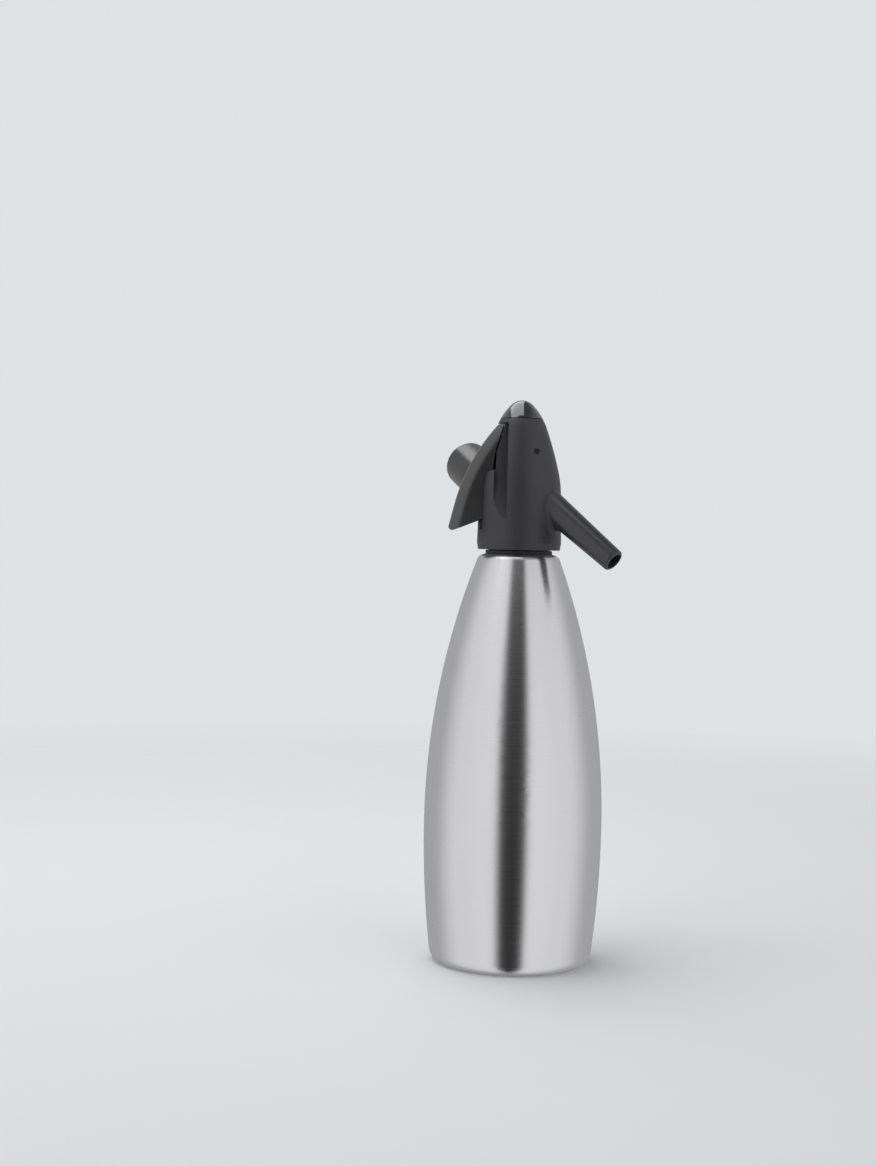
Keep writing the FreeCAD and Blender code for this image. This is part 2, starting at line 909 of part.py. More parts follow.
def cut_lever_openings(body):
    """Window and slots that the lever swings in; its hollow passes over a tongue of the shell."""
    far = s.collar_radius + s.cut_reach
    slot_half = s.lever_half_width + s.lever_slot_gap
    window_depth = s.lever_front_x - s.window_inset
    window_bottom = collar_bottom + s.window_height
    post_top = shoulder_level
    window = outline(
        body,
        "window_outline",
        "XZ_Plane",
        [
            (-far, window_bottom),
            (-window_depth, window_bottom),
            (-window_depth, post_top + s.overcut),
            (-far, post_top + s.overcut),
        ],
    )
    extrude(body, "lever_window", window, slot_half * 2, "PartDesign::Pocket")
    slope = tangent(s.cheek_slot_slope)
    cheek_bottom = collar_bottom + s.cheek_slot_height
    for name, start in (("near", slot_half - s.cheek_slot_width), ("far", -slot_half)):
        cheek = outline(
            body,
            f"{name}_cheek_outline",
            "XZ_Plane",
            [
                (-far, cheek_bottom - (far - s.collar_radius) * slope),
                (-window_depth, cheek_bottom + (s.collar_radius - window_depth) * slope),
                (-window_depth, window_bottom + s.overcut),
                (-far, window_bottom + s.overcut),
            ],
        )
        offset_sketch(cheek, start)
        extrude(
            body,
            f"{name}_cheek_slot",
            cheek,
            s.cheek_slot_width,
            "PartDesign::Pocket",
            "One side",
            True,
        )
    lever_line = [
        (-s.lever_front_x + s.lever_front_swing, post_top),
        (-s.lever_brow_x + s.lever_brow_swing, lever_brow),
        (-s.lever_crest_x + s.lever_front_gap, crown_floor),
        (-far, crown_floor),
    ]
    post = [(-far, post_top - s.post_fall, -s.post_round), (-s.post_edge, post_top)]
    near = outline(body, "near_slot_outline", "XZ_Plane", post + lever_line)
    extrude(body, "near_slot", near, far, "PartDesign::Pocket", "One side", True)
    rear = outline(body, "rear_slot_outline", "XZ_Plane", [(-far, post_top)] + lever_line)
    extrude(body, "rear_slot", rear, slot_half, "PartDesign::Pocket", "One side")


def make_head_shell():
    """Moulded bullet-shaped housing with the spout and the charger boss in one piece."""
    body = new_body("head_shell")
    revolve(
        body,
        "bullet",
        [
            (0, collar_bottom),
            (s.collar_radius - s.collar_lip, collar_bottom),
            (s.collar_radius, collar_bottom + s.collar_lip_height),
            (s.waist_radius, waist_height, s.waist_side_radius),
            (s.shoulder_radius, shoulder_level, s.nose_side_radius),
            (s.crown_radius, crown_height, s.crown_side_radius),
            (crown_edge, cap_seam),
            (0, cap_seam),
        ],
    )
    solid(
        body,
        "AdditiveCone",
        "spout_cone",
        spout_frame(s.spout_root),
        Radius1=s.spout_root_radius,
        Radius2=s.spout_tip_radius,
        Height=s.spout_length - s.spout_root,
    )
    round_edges(body, "spout_root_round", s.spout_root_round, at_spout_root)
    round_edges(body, "spout_rim_round", s.spout_rim_round, at_spout_rim)
    solid(
        body,
        "AdditiveCylinder",
        "charger_boss",
        holder_frame(s.spout_root),
        Radius=s.holder_radius,
        Height=s.holder_start - s.holder_seam - s.spout_root,
    )
    hollowing = body.newObject("PartDesign::Boolean", "hollowing")
    hollowing.setObjects([make_hollow()])
    hollowing.Type = "Cut"
    add_pin_bosses(body)
    solid(
        body,
        "SubtractiveCylinder",
        "pin_hole",
        place(s.pin_offset, -s.collar_radius, pin_height, 0, 0, -RIGHT_ANGLE),
        Radius=s.pin_radius + s.seat_gap,
        Height=s.collar_radius * 2,
    )
    solid(
        body,
        "SubtractiveCylinder",
        "spout_bore",
        spout_frame(s.spout_root),
        Radius=s.spout_tube_radius + s.slip_gap,
        Height=s.spout_length - s.spout_mouth_depth - s.spout_root,
    )
    solid(
        body,
        "SubtractiveCylinder",
        "spout_mouth",
        spout_frame(s.spout_length - s.spout_mouth_depth),
        Radius=s.spout_mouth_radius,
        Height=s.spout_mouth_depth + s.overcut,
    )
    solid(
        body,
        "SubtractiveCylinder",
        "charger_hole",
        holder_frame(s.adaptor_boss_end),
        Radius=s.adaptor_thread_radius + s.shell_gap,
        Height=s.holder_start - s.adaptor_boss_end,
    )
    cut_lever_openings(body)
    cut_recess(body)
    return body


def at_spout_root(edge):
    """The closed line where the spout leaves the bullet."""
    middle = edge.CenterOfMass
    along = cosine(s.spout_turn).value * middle.x - sine(s.spout_turn).value * middle.y
    across = sine(s.spout_turn).value * middle.x + cosine(s.spout_turn).value * middle.y
    near_wall = along < s.collar_radius.value
    beside = abs(across) < (s.spout_root_radius + s.overcut).value
    low = spout_height.value - 2 * s.collar_radius.value * sine(s.spout_drop).value
    same_height = low < middle.z < spout_height.value
    on_cone = not isinstance(edge.Curve, Part.Line)
    whole_ring = edge.Length > 2 * s.collar_radius.value
    return along > 0 and near_wall and beside and same_height and on_cone and not whole_ring


def at_spout_rim(edge):
    """The outer edge of the spout's open end."""
    curve = edge.Curve
    return isinstance(curve, Part.Circle) and abs(curve.Radius - s.spout_tip_radius.value) < 0.01


def make_top_cap():
    """Glossy dome that plugs into the crown of the shell."""
    spigot = crown_edge - s.crown_ring_width - s.seat_gap
    inner = spigot - s.cap_wall
    inside_top = head_top - s.cap_wall
    dome = arc_radius(s.cap_radius, head_top - cap_level)
    hollow_level = cap_seam + s.cap_hollow_height
    hollow = arc_radius(inner, inside_top - hollow_level)
    return turned(
        "top_cap",
        [
            (0, inside_top, -hollow),
            (inner, hollow_level),
            (inner, cap_seam - s.cap_spigot),
            (spigot, cap_seam - s.cap_spigot),
            (spigot, cap_seam),
            (crown_edge - s.cap_seam_width, cap_seam),
            (crown_edge, cap_seam + s.cap_seam_width, s.crown_side_radius),
            (s.cap_radius, cap_level, dome),
            (0, head_top),
        ],
    )


def make_retaining_ring():
    """Snap ring that holds the valve block up in the shell's skirt."""
    body = turned(
        "retaining_ring",
        tube_corners(
            s.ring_inner_radius,
            skirt_bore + s.ring_groove - s.seat_gap,
            block_bottom - s.ring_thickness,
            block_bottom,
        ),
    )
    solid(
        body,
        "SubtractiveBox",
        "ring_opening",
        place(0, -s.ring_gap / 2, block_bottom - s.ring_thickness * 2),
        Length=s.collar_radius,
        Width=s.ring_gap,
        Height=s.ring_thickness * 3,
    )
    return body


# ---------------------------------------------------------------- valve block and valve


def make_valve_block():
    """Metal body with the neck thread, the valve tower and the three side bosses."""
    body = new_body("valve_block")
    cone_top = block_shoulder + s.block_cone_rise
    revolve(
        body,
        "block_form",
        [
            (0, block_bottom),
            (block_radius, block_bottom),
            (block_radius, block_shoulder),
            (block_radius - s.shell_step, block_shoulder),
            (s.block_cone_radius, cone_top),
            (s.tower_radius, cone_top + s.tower_foot_rise),
            (s.tower_radius, tower_top),
            (0, tower_top),
        ],
    )
    solid(
        body,
        "AdditiveCylinder",
        "spout_boss",
        SPOUT_FRAME,
        Radius=s.spout_boss_radius,
        Height=s.spout_boss_length,
    )
    solid(
        body,
        "AdditiveCylinder",
        "charger_boss_root",
        HOLDER_FRAME,
        Radius=s.adaptor_boss_radius,
        Height=s.adaptor_boss_end,
    )
    solid(
        body,
        "AdditiveCylinder",
        "relief_boss",
        place(relief_x, relief_y, block_shoulder),
        Radius=s.relief_boss_radius,
        Height=relief_top - block_shoulder,
    )
    revolve(
        body,
        "socket_and_chamber",
        [
            (0, block_bottom - s.overcut),
            (socket_radius, block_bottom - s.overcut),
            (socket_radius, socket_roof),
            (s.riser_radius + s.slip_gap, socket_roof),
            (s.riser_radius + s.slip_gap, socket_roof + s.inlet_depth),
            (s.inlet_throat, socket_roof + s.inlet_depth),
            (s.inlet_throat, chamber_floor),
            (lower_chamber, chamber_floor),
            (lower_chamber, seat_height),
            (s.chamber_radius, seat_height),
            (s.chamber_radius, tower_top + s.overcut),
            (0, tower_top + s.overcut),
        ],
        "PartDesign::Groove",
    )
    solid(
        body,
        "SubtractiveCylinder",
        "spout_socket",
        spout_frame(s.spout_boss_length - s.spout_socket),
        Radius=s.spout_tube_radius + s.seat_gap,
        Height=s.spout_socket + s.overcut,
    )
    solid(
        body,
        "SubtractiveCylinder",
        "spout_port",
        SPOUT_FRAME,
        Radius=s.spout_port_radius,
        Height=s.spout_boss_length,
    )
    solid(
        body,
        "SubtractiveCylinder",
        "adaptor_socket",
        holder_frame(s.adaptor_start),
        Radius=s.adaptor_plug_radius + s.seat_gap,
        Height=s.adaptor_boss_end,
    )
    solid(
        body,
        "SubtractiveCylinder",
        "needle_pocket",
        holder_frame(needle_start),
        Radius=s.needle_foot_radius + s.seat_gap,
        Height=s.adaptor_boss_end - needle_start,
    )
    flat = needle_start * cosine(s.holder_rise)
    solid(
        body,
        "SubtractiveCylinder",
        "gas_port",
        place(flat * cosine(s.holder_turn), flat * sine(s.holder_turn), socket_roof - s.overcut),
        Radius=s.gas_port_radius,
        Height=holder_height + needle_start * sine(s.holder_rise) - socket_roof + s.overcut,
    )
    solid(
        body,
        "SubtractiveCylinder",
        "relief_bore",
        place(relief_x, relief_y, relief_seat),
        Radius=s.relief_bore,
        Height=relief_top,
    )
    solid(
        body,
        "SubtractiveCylinder",
        "relief_port",
        place(relief_x, relief_y, socket_roof - s.overcut),
        Radius=s.relief_port_radius,
        Height=relief_seat,
    )
    return body


def make_valve_seat():
    """Hard seat ring with the raised lip that the rubber washer closes on."""
    return turned(
        "valve_seat",
        [
            (s.seat_bore, washer_top),
            (s.seat_bore + s.seat_lip_width, washer_top),
            (s.seat_bore + s.seat_lip_width, seat_height),
            (chamber_core, seat_height),
            (chamber_core, seat_top),
            (s.seat_bore, seat_top),
        ],
    )


def make_port_sleeve():
    """Spacer sleeve above the seat, with the window towards the spout."""
    body = turned(
        "port_sleeve",
        tube_corners(chamber_core - s.sleeve_wall, chamber_core, seat_top, sleeve_top),
    )
    solid(
        body,
        "SubtractiveCylinder",
        "sleeve_window",
        SPOUT_FRAME,
        Radius=s.spout_port_radius,
        Height=s.spout_boss_length,
    )
    return body


def make_stem_seal():
    return turned("stem_seal", tube_corners(stem_bore, chamber_core, sleeve_top, seal_top))


def make_gland_nut():
    """Hexagon nut with a spigot that presses the seal and the sleeve on the seat."""
    body = new_body("gland_nut")
    hexagon = new_sketch(body, "hexagon", "XY_Plane")
    bind(hexagon, "AttachmentOffset.Base.z", tower_top)
    corners = []
    for side in range(NUT_SIDES):
        angle = as_size(FULL_TURN * side / NUT_SIDES)
        corners.append((s.nut_radius * cosine(angle), s.nut_radius * sine(angle)))
    points = [FreeCAD.Vector(x.value, y.value, 0) for x, y in corners]
    for side in range(NUT_SIDES):
        following = points[(side + 1) % NUT_SIDES]
        hexagon.addGeometry(Part.LineSegment(points[side], following), False)
    for side in range(NUT_SIDES):
        before = (side - 1) % NUT_SIDES
        hexagon.addConstraint(Sketcher.Constraint("Coincident", before, 2, side, 1))
        pin_point(hexagon, side, 1, *tidy_zero(corners[side]))
    extrude(body, "nut_head", hexagon, s.nut_height, side="One side")
    spigot_top = tower_top + s.overcut
    revolve(body, "nut_spigot", tube_corners(stem_bore, chamber_core, seal_top, spigot_top))
    solid(
        body,
        "SubtractiveCylinder",
        "stem_hole",
        place(0, 0, seal_top - s.overcut),
        Radius=stem_bore,
        Height=tower_top,
    )
    return body


def tidy_zero(corner):
    """A corner whose rounding errors beside zero are taken as zero."""
    return [as_size(0) if abs(value.value) < 1e-9 else value for value in corner]


def make_valve_stem():
    """Stem with the disc that the spring lifts and a guide inside the spring."""
    return turned(
        "valve_stem",
        [
            (0, stem_head_bottom - s.stem_guide_length),
            (s.stem_guide_radius, stem_head_bottom - s.stem_guide_length),
            (s.stem_guide_radius, stem_head_bottom),
            (s.stem_head_radius, stem_head_bottom),
            (s.stem_head_radius, washer_bottom),
            (s.stem_radius, washer_bottom),
            (s.stem_radius, stem_top),
            (0, stem_top),
        ],
    )


def make_valve_washer():
    return turned(
        "valve_washer",
        tube_corners(stem_bore, s.stem_head_radius - s.seat_gap, washer_bottom, washer_top),
    )


def make_stem_cap():
    """Smooth plastic cap that the lever's nose presses on."""
    low = stem_cap_top - s.stem_cap_height
    return turned(
        "stem_cap",
        [
            (stem_bore, low),
            (s.stem_cap_radius, low),
            (s.stem_cap_radius, stem_cap_top - s.small_chamfer),
            (s.stem_cap_radius - s.small_chamfer, stem_cap_top),
            (0, stem_cap_top),
            (0, stem_top),
            (stem_bore, stem_top),
        ],
    )


def make_valve_spring():
    low = chamber_floor
    return coil_spring(
        "valve_spring", s.valve_coil, s.valve_wire, low, stem_head_bottom, s.valve_turns
    )


# ---------------------------------------------------------------- relief valve


def make_relief_plunger():
    """Faced disc on a thin rod that lifts when the pressure is too high."""
    disc = s.relief_bore - s.slip_gap
    return turned(
        "relief_plunger",
        [
            (0, relief_seat),
            (disc, relief_seat),
            (disc, relief_seat + s.relief_disc_thickness),
            (s.relief_rod_radius, relief_seat + s.relief_disc_thickness),
            (s.relief_rod_radius, relief_rod_top),
            (0, relief_rod_top),
        ],
        place(relief_x, relief_y, 0),
    )


def make_relief_cap():
    """Hollow screw that closes the relief bore and carries the spring."""
    return turned(
        "relief_cap",
        tube_corners(
            s.relief_rod_radius + s.slip_gap,
            s.relief_bore - s.seat_gap,
            relief_cap_bottom,
            relief_top,
        ),
        place(relief_x, relief_y, 0),
    )


def make_relief_spring():
    low = relief_seat + s.relief_disc_thickness
    frame = place(relief_x, relief_y, 0)
    return coil_spring(
        "relief_spring",
        s.relief_coil,
        s.relief_wire,
        low,
        relief_cap_bottom,
        s.relief_turns,
        frame,
    )


# ---------------------------------------------------------------- spout


def make_spout_tube():
    """Steel tube inside the spout, from the valve block to the bottom of the mouth."""
    start = s.spout_boss_length - s.spout_socket + s.spout_seal_thickness
    end = s.spout_length - s.spout_mouth_depth
    bore = s.spout_tube_radius - s.spout_tube_wall
    return turned(
        "spout_tube", tube_corners(bore, s.spout_tube_radius, start, end), SPOUT_FRAME
    )


def make_spout_seal():
    start = s.spout_boss_length - s.spout_socket
    bore = s.spout_tube_radius - s.spout_tube_wall - s.slip_gap
    return turned(
        "spout_seal",
        tube_corners(bore, s.spout_tube_radius, start, start + s.spout_seal_thickness),
        SPOUT_FRAME,
    )


# ---------------------------------------------------------------- lever


def make_lever():
    """Hood-shaped lever: a rounded back, two cheeks, and a beam to the pin over the valve."""
    body = new_body("lever")
    hood = outline(
        body,
        "hood_outline",
        "XZ_Plane",
        [
            (-s.lever_top_x, lever_top, s.lever_back_radius),
            (-s.lever_knee_x, lever_knee),
            (-s.lever_tip_x, lever_tip, s.lever_tip_round),
            (-s.lever_heel_x, lever_heel),
            (-s.lever_sill_x, lever_sill),
            (-s.lever_front_x, lever_front),
            (-s.lever_brow_x, lever_brow),
            (-s.lever_crest_x, lever_top + s.lever_crest_rise),
        ],
    )
    extrude(body, "hood", hood, s.lever_half_width * 2)
    round_edges(body, "back_round", s.lever_back_round, on_lever_back)
    cavity = outline(
        body,
        "cavity_outline",
        "XZ_Plane",
        [
            (-s.lever_top_x, lever_top - s.lever_top_wall, s.lever_back_radius),
            (-s.lever_knee_x + s.lever_back_wall, lever_knee),
            (-s.lever_tip_x + s.lever_end_wall, lever_tip + s.lever_end_height),
            (-s.lever_tip_x + s.lever_end_wall + s.lever_back_wall, lever_heel - s.overcut),
            (0, lever_heel - s.overcut),
            (0, lever_top - s.lever_top_wall),
        ],
    )
    cheek_gap = (s.lever_half_width - s.lever_wall) * 2
    extrude(body, "cavity", cavity, cheek_gap, "PartDesign::Pocket")
    beam = outline(
        body,
        "beam_outline",
        "XZ_Plane",
        [
            (-s.beam_root_x, beam_bottom),
            (s.pin_offset, beam_bottom),
            (s.pin_offset, beam_bottom + s.beam_depth),
            (-s.beam_crest_x, beam_root_top),
            (-s.beam_head_x, beam_root_top),
        ],
    )
    extrude(body, "beam", beam, s.beam_half_width * 2)
    lip_top = cap_seam - s.cap_spigot - s.slip_gap
    lip = outline(
        body,
        "lip_outline",
        "XZ_Plane",
        [
            (-s.beam_crest_x - s.overcut, beam_root_top - s.overcut),
            (-s.lever_lip_x, beam_root_top - s.overcut),
            (-s.lever_lip_x, lip_top),
            (-s.beam_crest_x - s.overcut, lip_top),
        ],
    )
    extrude(body, "lip", lip, s.beam_half_width * 2)
    nose_height = stem_cap_top + s.seat_gap + s.nose_radius
    nose = circle(body, "nose_outline", "XZ_Plane", 0, nose_height, s.nose_radius)
    extrude(body, "nose", nose, s.beam_half_width * 2)
    eye = circle(body, "eye_outline", "XZ_Plane", s.pin_offset, pin_height, s.hub_eye_radius)
    extrude(body, "eye", eye, s.hub_half_length * 2)
    bore = s.pin_radius + s.seat_gap
    hole = circle(body, "eye_hole_outline", "XZ_Plane", s.pin_offset, pin_height, bore)
    extrude(body, "eye_hole", hole, s.hub_half_length * 3, "PartDesign::Pocket")
    return body


def on_lever_back(edge):
    """The long edges of the hood's back, on both sides."""
    middle = edge.CenterOfMass
    on_side = abs(abs(middle.y) - s.lever_half_width.value) < 0.01
    tip = s.lever_tip_round.value
    line_share = (middle.z - lever_heel.value) / (lever_top.value - lever_heel.value)
    back_x = -s.lever_tip_x.value + (s.lever_tip_x - s.lever_top_x).value * line_share
    return on_side and edge.Length > 2 * tip and middle.x < back_x + tip


def make_lever_pin():
    """Steel pin through the shell's two bosses and the lever's eye."""
    return turned(
        "lever_pin",
        [
            (0, 0),
            (s.pin_radius, 0),
            (s.pin_radius, pin_half_length * 2),
            (0, pin_half_length * 2),
        ],
        place(s.pin_offset, pin_half_length, pin_height, 0, 0, RIGHT_ANGLE),
    )


# ---------------------------------------------------------------- gas charger and holder


def make_charger_adaptor():
    """Threaded metal stub that the holder screws on, plugged into the valve block."""
    neck = s.charger_neck_radius + s.slip_gap
    body_bore = s.charger_radius + s.slip_gap
    flange_end = s.adaptor_boss_end + s.adaptor_flange_length
    neck_end = s.charger_start + s.charger_neck_length
    return turned(
        "charger_adaptor",
        [
            (neck, s.adaptor_start),
            (s.adaptor_plug_radius, s.adaptor_start),
            (s.adaptor_plug_radius, s.adaptor_boss_end),
            (s.adaptor_boss_radius, s.adaptor_boss_end),
            (s.adaptor_boss_radius, flange_end),
            (s.adaptor_thread_radius - s.adaptor_run_in, flange_end),
            (s.adaptor_thread_radius, flange_end + s.adaptor_run_in),
            (s.adaptor_thread_radius, s.adaptor_end - s.small_chamfer),
            (s.adaptor_thread_radius - s.small_chamfer, s.adaptor_end),
            (body_bore, s.adaptor_end),
            (body_bore, neck_end + s.charger_shoulder - s.adaptor_nest),
            (neck, neck_end - s.adaptor_nest),
        ],
        HOLDER_FRAME,
    )


def make_piercing_needle():
    """Hollow needle on a flanged foot, pressed into the valve block."""
    foot_top = needle_start + s.needle_foot_thickness
    return turned(
        "piercing_needle",
        [
            (s.needle_bore, needle_start),
            (s.needle_foot_radius, needle_start),
            (s.needle_foot_radius, foot_top),
            (s.needle_radius, foot_top),
            (s.needle_radius, needle_start + s.needle_length - s.needle_bevel),
            (s.needle_bore, needle_start + s.needle_length),
        ],
        HOLDER_FRAME,
    )


def make_charger_seal():
    """Rubber ring that the pierced charger seals against."""
    return turned(
        "charger_seal",
        tube_corners(
            s.needle_radius + s.seat_gap,
            s.charger_neck_radius,
            s.charger_start - s.ring_seal_thickness,
            s.charger_start,
        ),
        HOLDER_FRAME,
    )


def make_co2_charger():
    """Steel gas bulb with a narrow neck, pierced at its tip."""
    neck_end = s.charger_start + s.charger_neck_length
    body_start = neck_end + s.charger_shoulder
    bottom = s.charger_start + s.charger_length
    dome_start = bottom - s.charger_radius
    wall = s.charger_wall
    inner = s.charger_radius - wall
    neck_inner = s.charger_neck_radius - wall
    return turned(
        "co2_charger",
        [
            (s.charger_hole, s.charger_start),
            (s.charger_neck_radius, s.charger_start),
            (s.charger_neck_radius, neck_end),
            (s.charger_radius, body_start),
            (s.charger_radius, dome_start, s.charger_radius),
            (0, bottom),
            (0, bottom - wall, -inner),
            (inner, dome_start),
            (inner, body_start),
            (neck_inner, neck_end),
            (neck_inner, s.charger_start + wall),
            (s.charger_hole, s.charger_start + wall),
        ],
        HOLDER_FRAME,
    )


def make_charger_holder():
    """Plastic sleeve that closes over the charger and screws on the adaptor."""
    insert_outer = s.adaptor_thread_radius + s.slip_gap + s.insert_wall + s.seat_gap
    insert_end = s.holder_start + s.insert_length + s.seat_gap
    inside = s.charger_radius + s.slip_gap
    body = turned(
        "charger_holder",
        [
            (insert_outer, s.holder_start),
            (s.holder_radius, s.holder_start),
            (s.holder_radius, holder_end),
            (0, holder_end),
            (0, holder_end - s.holder_end_wall),
            (inside, holder_end - s.holder_end_wall),
            (inside, insert_end),
            (insert_outer, insert_end),
        ],
        HOLDER_FRAME,
    )
    round_edges(body, "end_round", s.holder_edge_round, at_holder_end)
    return body


def at_holder_end(edge):
    """The outer edge of the sleeve's closed end, in the sleeve's own frame."""
    curve = edge.Curve
    is_round = isinstance(curve, Part.Circle)
    return (
        is_round
        and abs(curve.Radius - s.holder_radius.value) < 0.01
        and abs(curve.Center.z - holder_end.value) < 0.01
    )


def make_holder_insert():
    """Threaded metal ring moulded into the holder's mouth."""
    bore = s.adaptor_thread_radius + s.slip_gap
    return turned(
        "holder_insert",
        tube_corners(
            bore, bore + s.insert_wall, s.holder_start, s.holder_start + s.insert_length
        ),
        HOLDER_FRAME,
    )


def make_holder_cushion():
    """Rubber pad that presses the charger towards the needle."""
    end = holder_end - s.holder_end_wall
    radius = s.charger_radius - s.slip_gap
    return turned(
        "holder_cushion",
        [
            (0, end - s.cushion_thickness),
            (radius, end - s.cushion_thickness),
            (radius, end),
            (0, end),
        ],
        HOLDER_FRAME,
    )


# ---------------------------------------------------------------- build, check and export

PIECES = (
    make_bottle_shell,
    make_bottle_base,
    make_neck_ring,
    make_buffer_ring,
    make_measuring_tube,
    make_riser_collar,
    make_riser_tube,
    make_riser_tube_gasket,
    make_head_gasket,
    make_head_shell,
    make_top_cap,
    make_retaining_ring,
    make_valve_block,
    make_valve_seat,
    make_port_sleeve,
    make_stem_seal,
    make_gland_nut,
    make_valve_stem,
    make_valve_washer,
    make_stem_cap,
    make_valve_spring,
    make_relief_plunger,
    make_relief_cap,
    make_relief_spring,
    make_spout_tube,
    make_spout_seal,
    make_lever,
    make_lever_pin,
    make_charger_adaptor,
    make_piercing_needle,
    make_charger_seal,
    make_co2_charger,
    make_charger_holder,
    make_holder_insert,
    make_holder_cushion,
)

pieces = [make_piece() for make_piece in PIECES]
doc.recompute()

for thing in doc.Objects:
    if "Invalid" in thing.State or "Error" in thing.State:
        raise RuntimeError(f"{thing.Label} did not build: {thing.State}")
for piece in pieces:
    if piece.Shape.isNull() or not piece.Shape.isValid():
        raise RuntimeError(f"{piece.Label} has no valid shape")

os.makedirs("parts", exist_ok=True)
for piece in pieces:
    piece.Shape.exportStep(f"parts/{piece.Label}.step")
    print(f"{piece.Label}: {piece.Shape.Volume:.0f} mm3")
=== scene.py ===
import math

import bmesh
import bpy
from mathutils import Matrix, Quaternion, Vector


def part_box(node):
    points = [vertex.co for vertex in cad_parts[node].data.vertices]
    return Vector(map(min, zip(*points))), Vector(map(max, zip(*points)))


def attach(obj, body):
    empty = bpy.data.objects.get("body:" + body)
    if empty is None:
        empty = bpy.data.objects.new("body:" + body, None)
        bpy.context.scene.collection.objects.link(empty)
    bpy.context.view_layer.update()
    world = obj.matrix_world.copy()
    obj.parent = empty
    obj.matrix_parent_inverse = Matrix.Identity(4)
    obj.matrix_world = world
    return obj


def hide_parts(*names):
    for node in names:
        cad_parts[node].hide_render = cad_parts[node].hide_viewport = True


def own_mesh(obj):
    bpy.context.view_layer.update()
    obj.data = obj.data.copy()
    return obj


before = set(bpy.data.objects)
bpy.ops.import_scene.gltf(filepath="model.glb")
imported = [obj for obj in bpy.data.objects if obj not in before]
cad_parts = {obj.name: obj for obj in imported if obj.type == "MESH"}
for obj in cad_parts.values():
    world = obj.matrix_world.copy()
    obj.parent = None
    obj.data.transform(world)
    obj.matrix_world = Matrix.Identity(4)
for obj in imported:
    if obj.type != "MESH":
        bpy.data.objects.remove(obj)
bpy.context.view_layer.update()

# Soda siphon.  Metres, +Z up, origin in the middle of the bottle's foot ring.  The lever points
# to -X, the spout to +X and -Y, the charger holder to -X and +Y.

MM = 0.001


def feed(links, socket, value):
    """Link another node's output to the socket, or set the socket to a plain value."""
    if isinstance(value, bpy.types.NodeSocket):
        links.new(value, socket)
    else:
        socket.default_value = value


# ---------------------------------------------------------------- materials


class Finish:
    """A node material with its Principled shader, and short calls for what feeds it."""

    def __init__(self, name, colour, roughness, metallic=0.0, **sockets):
        self.material = bpy.data.materials.new(name)
        self.material.use_nodes = True
        self.nodes = self.material.node_tree.nodes
        self.links = self.material.node_tree.links
        self.shader = self.nodes["Principled BSDF"]
        self.shader.inputs["Base Color"].default_value = (*colour, 1)
        self.shader.inputs["Roughness"].default_value = roughness
        self.shader.inputs["Metallic"].default_value = metallic
        for socket, value in sockets.items():
            self.shader.inputs[socket.replace("_", " ")].default_value = value
        self.material.diffuse_color = (*colour, 1)
        self.place = self.nodes.new("ShaderNodeTexCoord").outputs["Object"]

    def node(self, kind, **settings):
        made = self.nodes.new(kind)
        for key, value in settings.items():
            setattr(made, key, value)
        return made

    def wire(self, source, target):
        self.links.new(source, target)

    def math(self, operation, first, second):
        made = self.node("ShaderNodeMath", operation=operation)
        for socket, value in zip(made.inputs, (first, second)):
            feed(self.links, socket, value)
        return made.outputs[0]

    def length(self, vector):
        made = self.node("ShaderNodeVectorMath", operation="LENGTH")
        self.wire(vector, made.inputs[0])
        return made.outputs["Value"]

    def stretched(self, scale):
        """Object coordinates, scaled along each axis."""
        mapping = self.node("ShaderNodeMapping")
        mapping.inputs["Scale"].default_value = scale
        self.wire(self.place, mapping.inputs["Vector"])
        return mapping.outputs["Vector"]

    def noise(self, scale=1.0, detail=2.0, vector=None, roughness=0.5):
        texture = self.node("ShaderNodeTexNoise")
        texture.inputs["Scale"].default_value = scale
        texture.inputs["Detail"].default_value = detail
        texture.inputs["Roughness"].default_value = roughness
        self.wire(vector or self.place, texture.inputs["Vector"])
        return texture.outputs["Fac"]

    def spread(self, value, low, high, start=0.3, stop=0.7):
        """A value between start and stop, spread out between low and high."""
        ramp = self.node("ShaderNodeMapRange")
        limits = {"From Min": start, "From Max": stop, "To Min": low, "To Max": high}
        for socket, number in limits.items():
            ramp.inputs[socket].default_value = number
        self.wire(value, ramp.inputs["Value"])
        return ramp.outputs["Result"]

    def vary_roughness(self, value, low, high):
        self.wire(self.spread(value, low, high), self.shader.inputs["Roughness"])

    def vary_colour(self, value, dark, light):
        mix = self.node("ShaderNodeMix", data_type="RGBA")
        mix.inputs["A"].default_value = (*dark, 1)
        mix.inputs["B"].default_value = (*light, 1)
        self.wire(self.spread(value, 0, 1), mix.inputs["Factor"])
        self.wire(mix.outputs["Result"], self.shader.inputs["Base Color"])

    def soften_edges(self, radius):
        """Round off the look of sharp edges; bumps that come later add to it."""
        bevel = self.node("ShaderNodeBevel", samples=6)
        bevel.inputs["Radius"].default_value = radius
        self.wire(bevel.outputs["Normal"], self.shader.inputs["Normal"])

    def raise_by(self, value, height, strength):
        """Bump of this height in metres; a second call adds to the first."""
        bump = self.node("ShaderNodeBump")
        bump.inputs["Distance"].default_value = height
        bump.inputs["Strength"].default_value = strength
        self.wire(value, bump.inputs["Height"])
        socket = self.shader.inputs["Normal"]
        if socket.is_linked:
            self.wire(socket.links[0].from_socket, bump.inputs["Normal"])
        self.wire(bump.outputs["Normal"], socket)


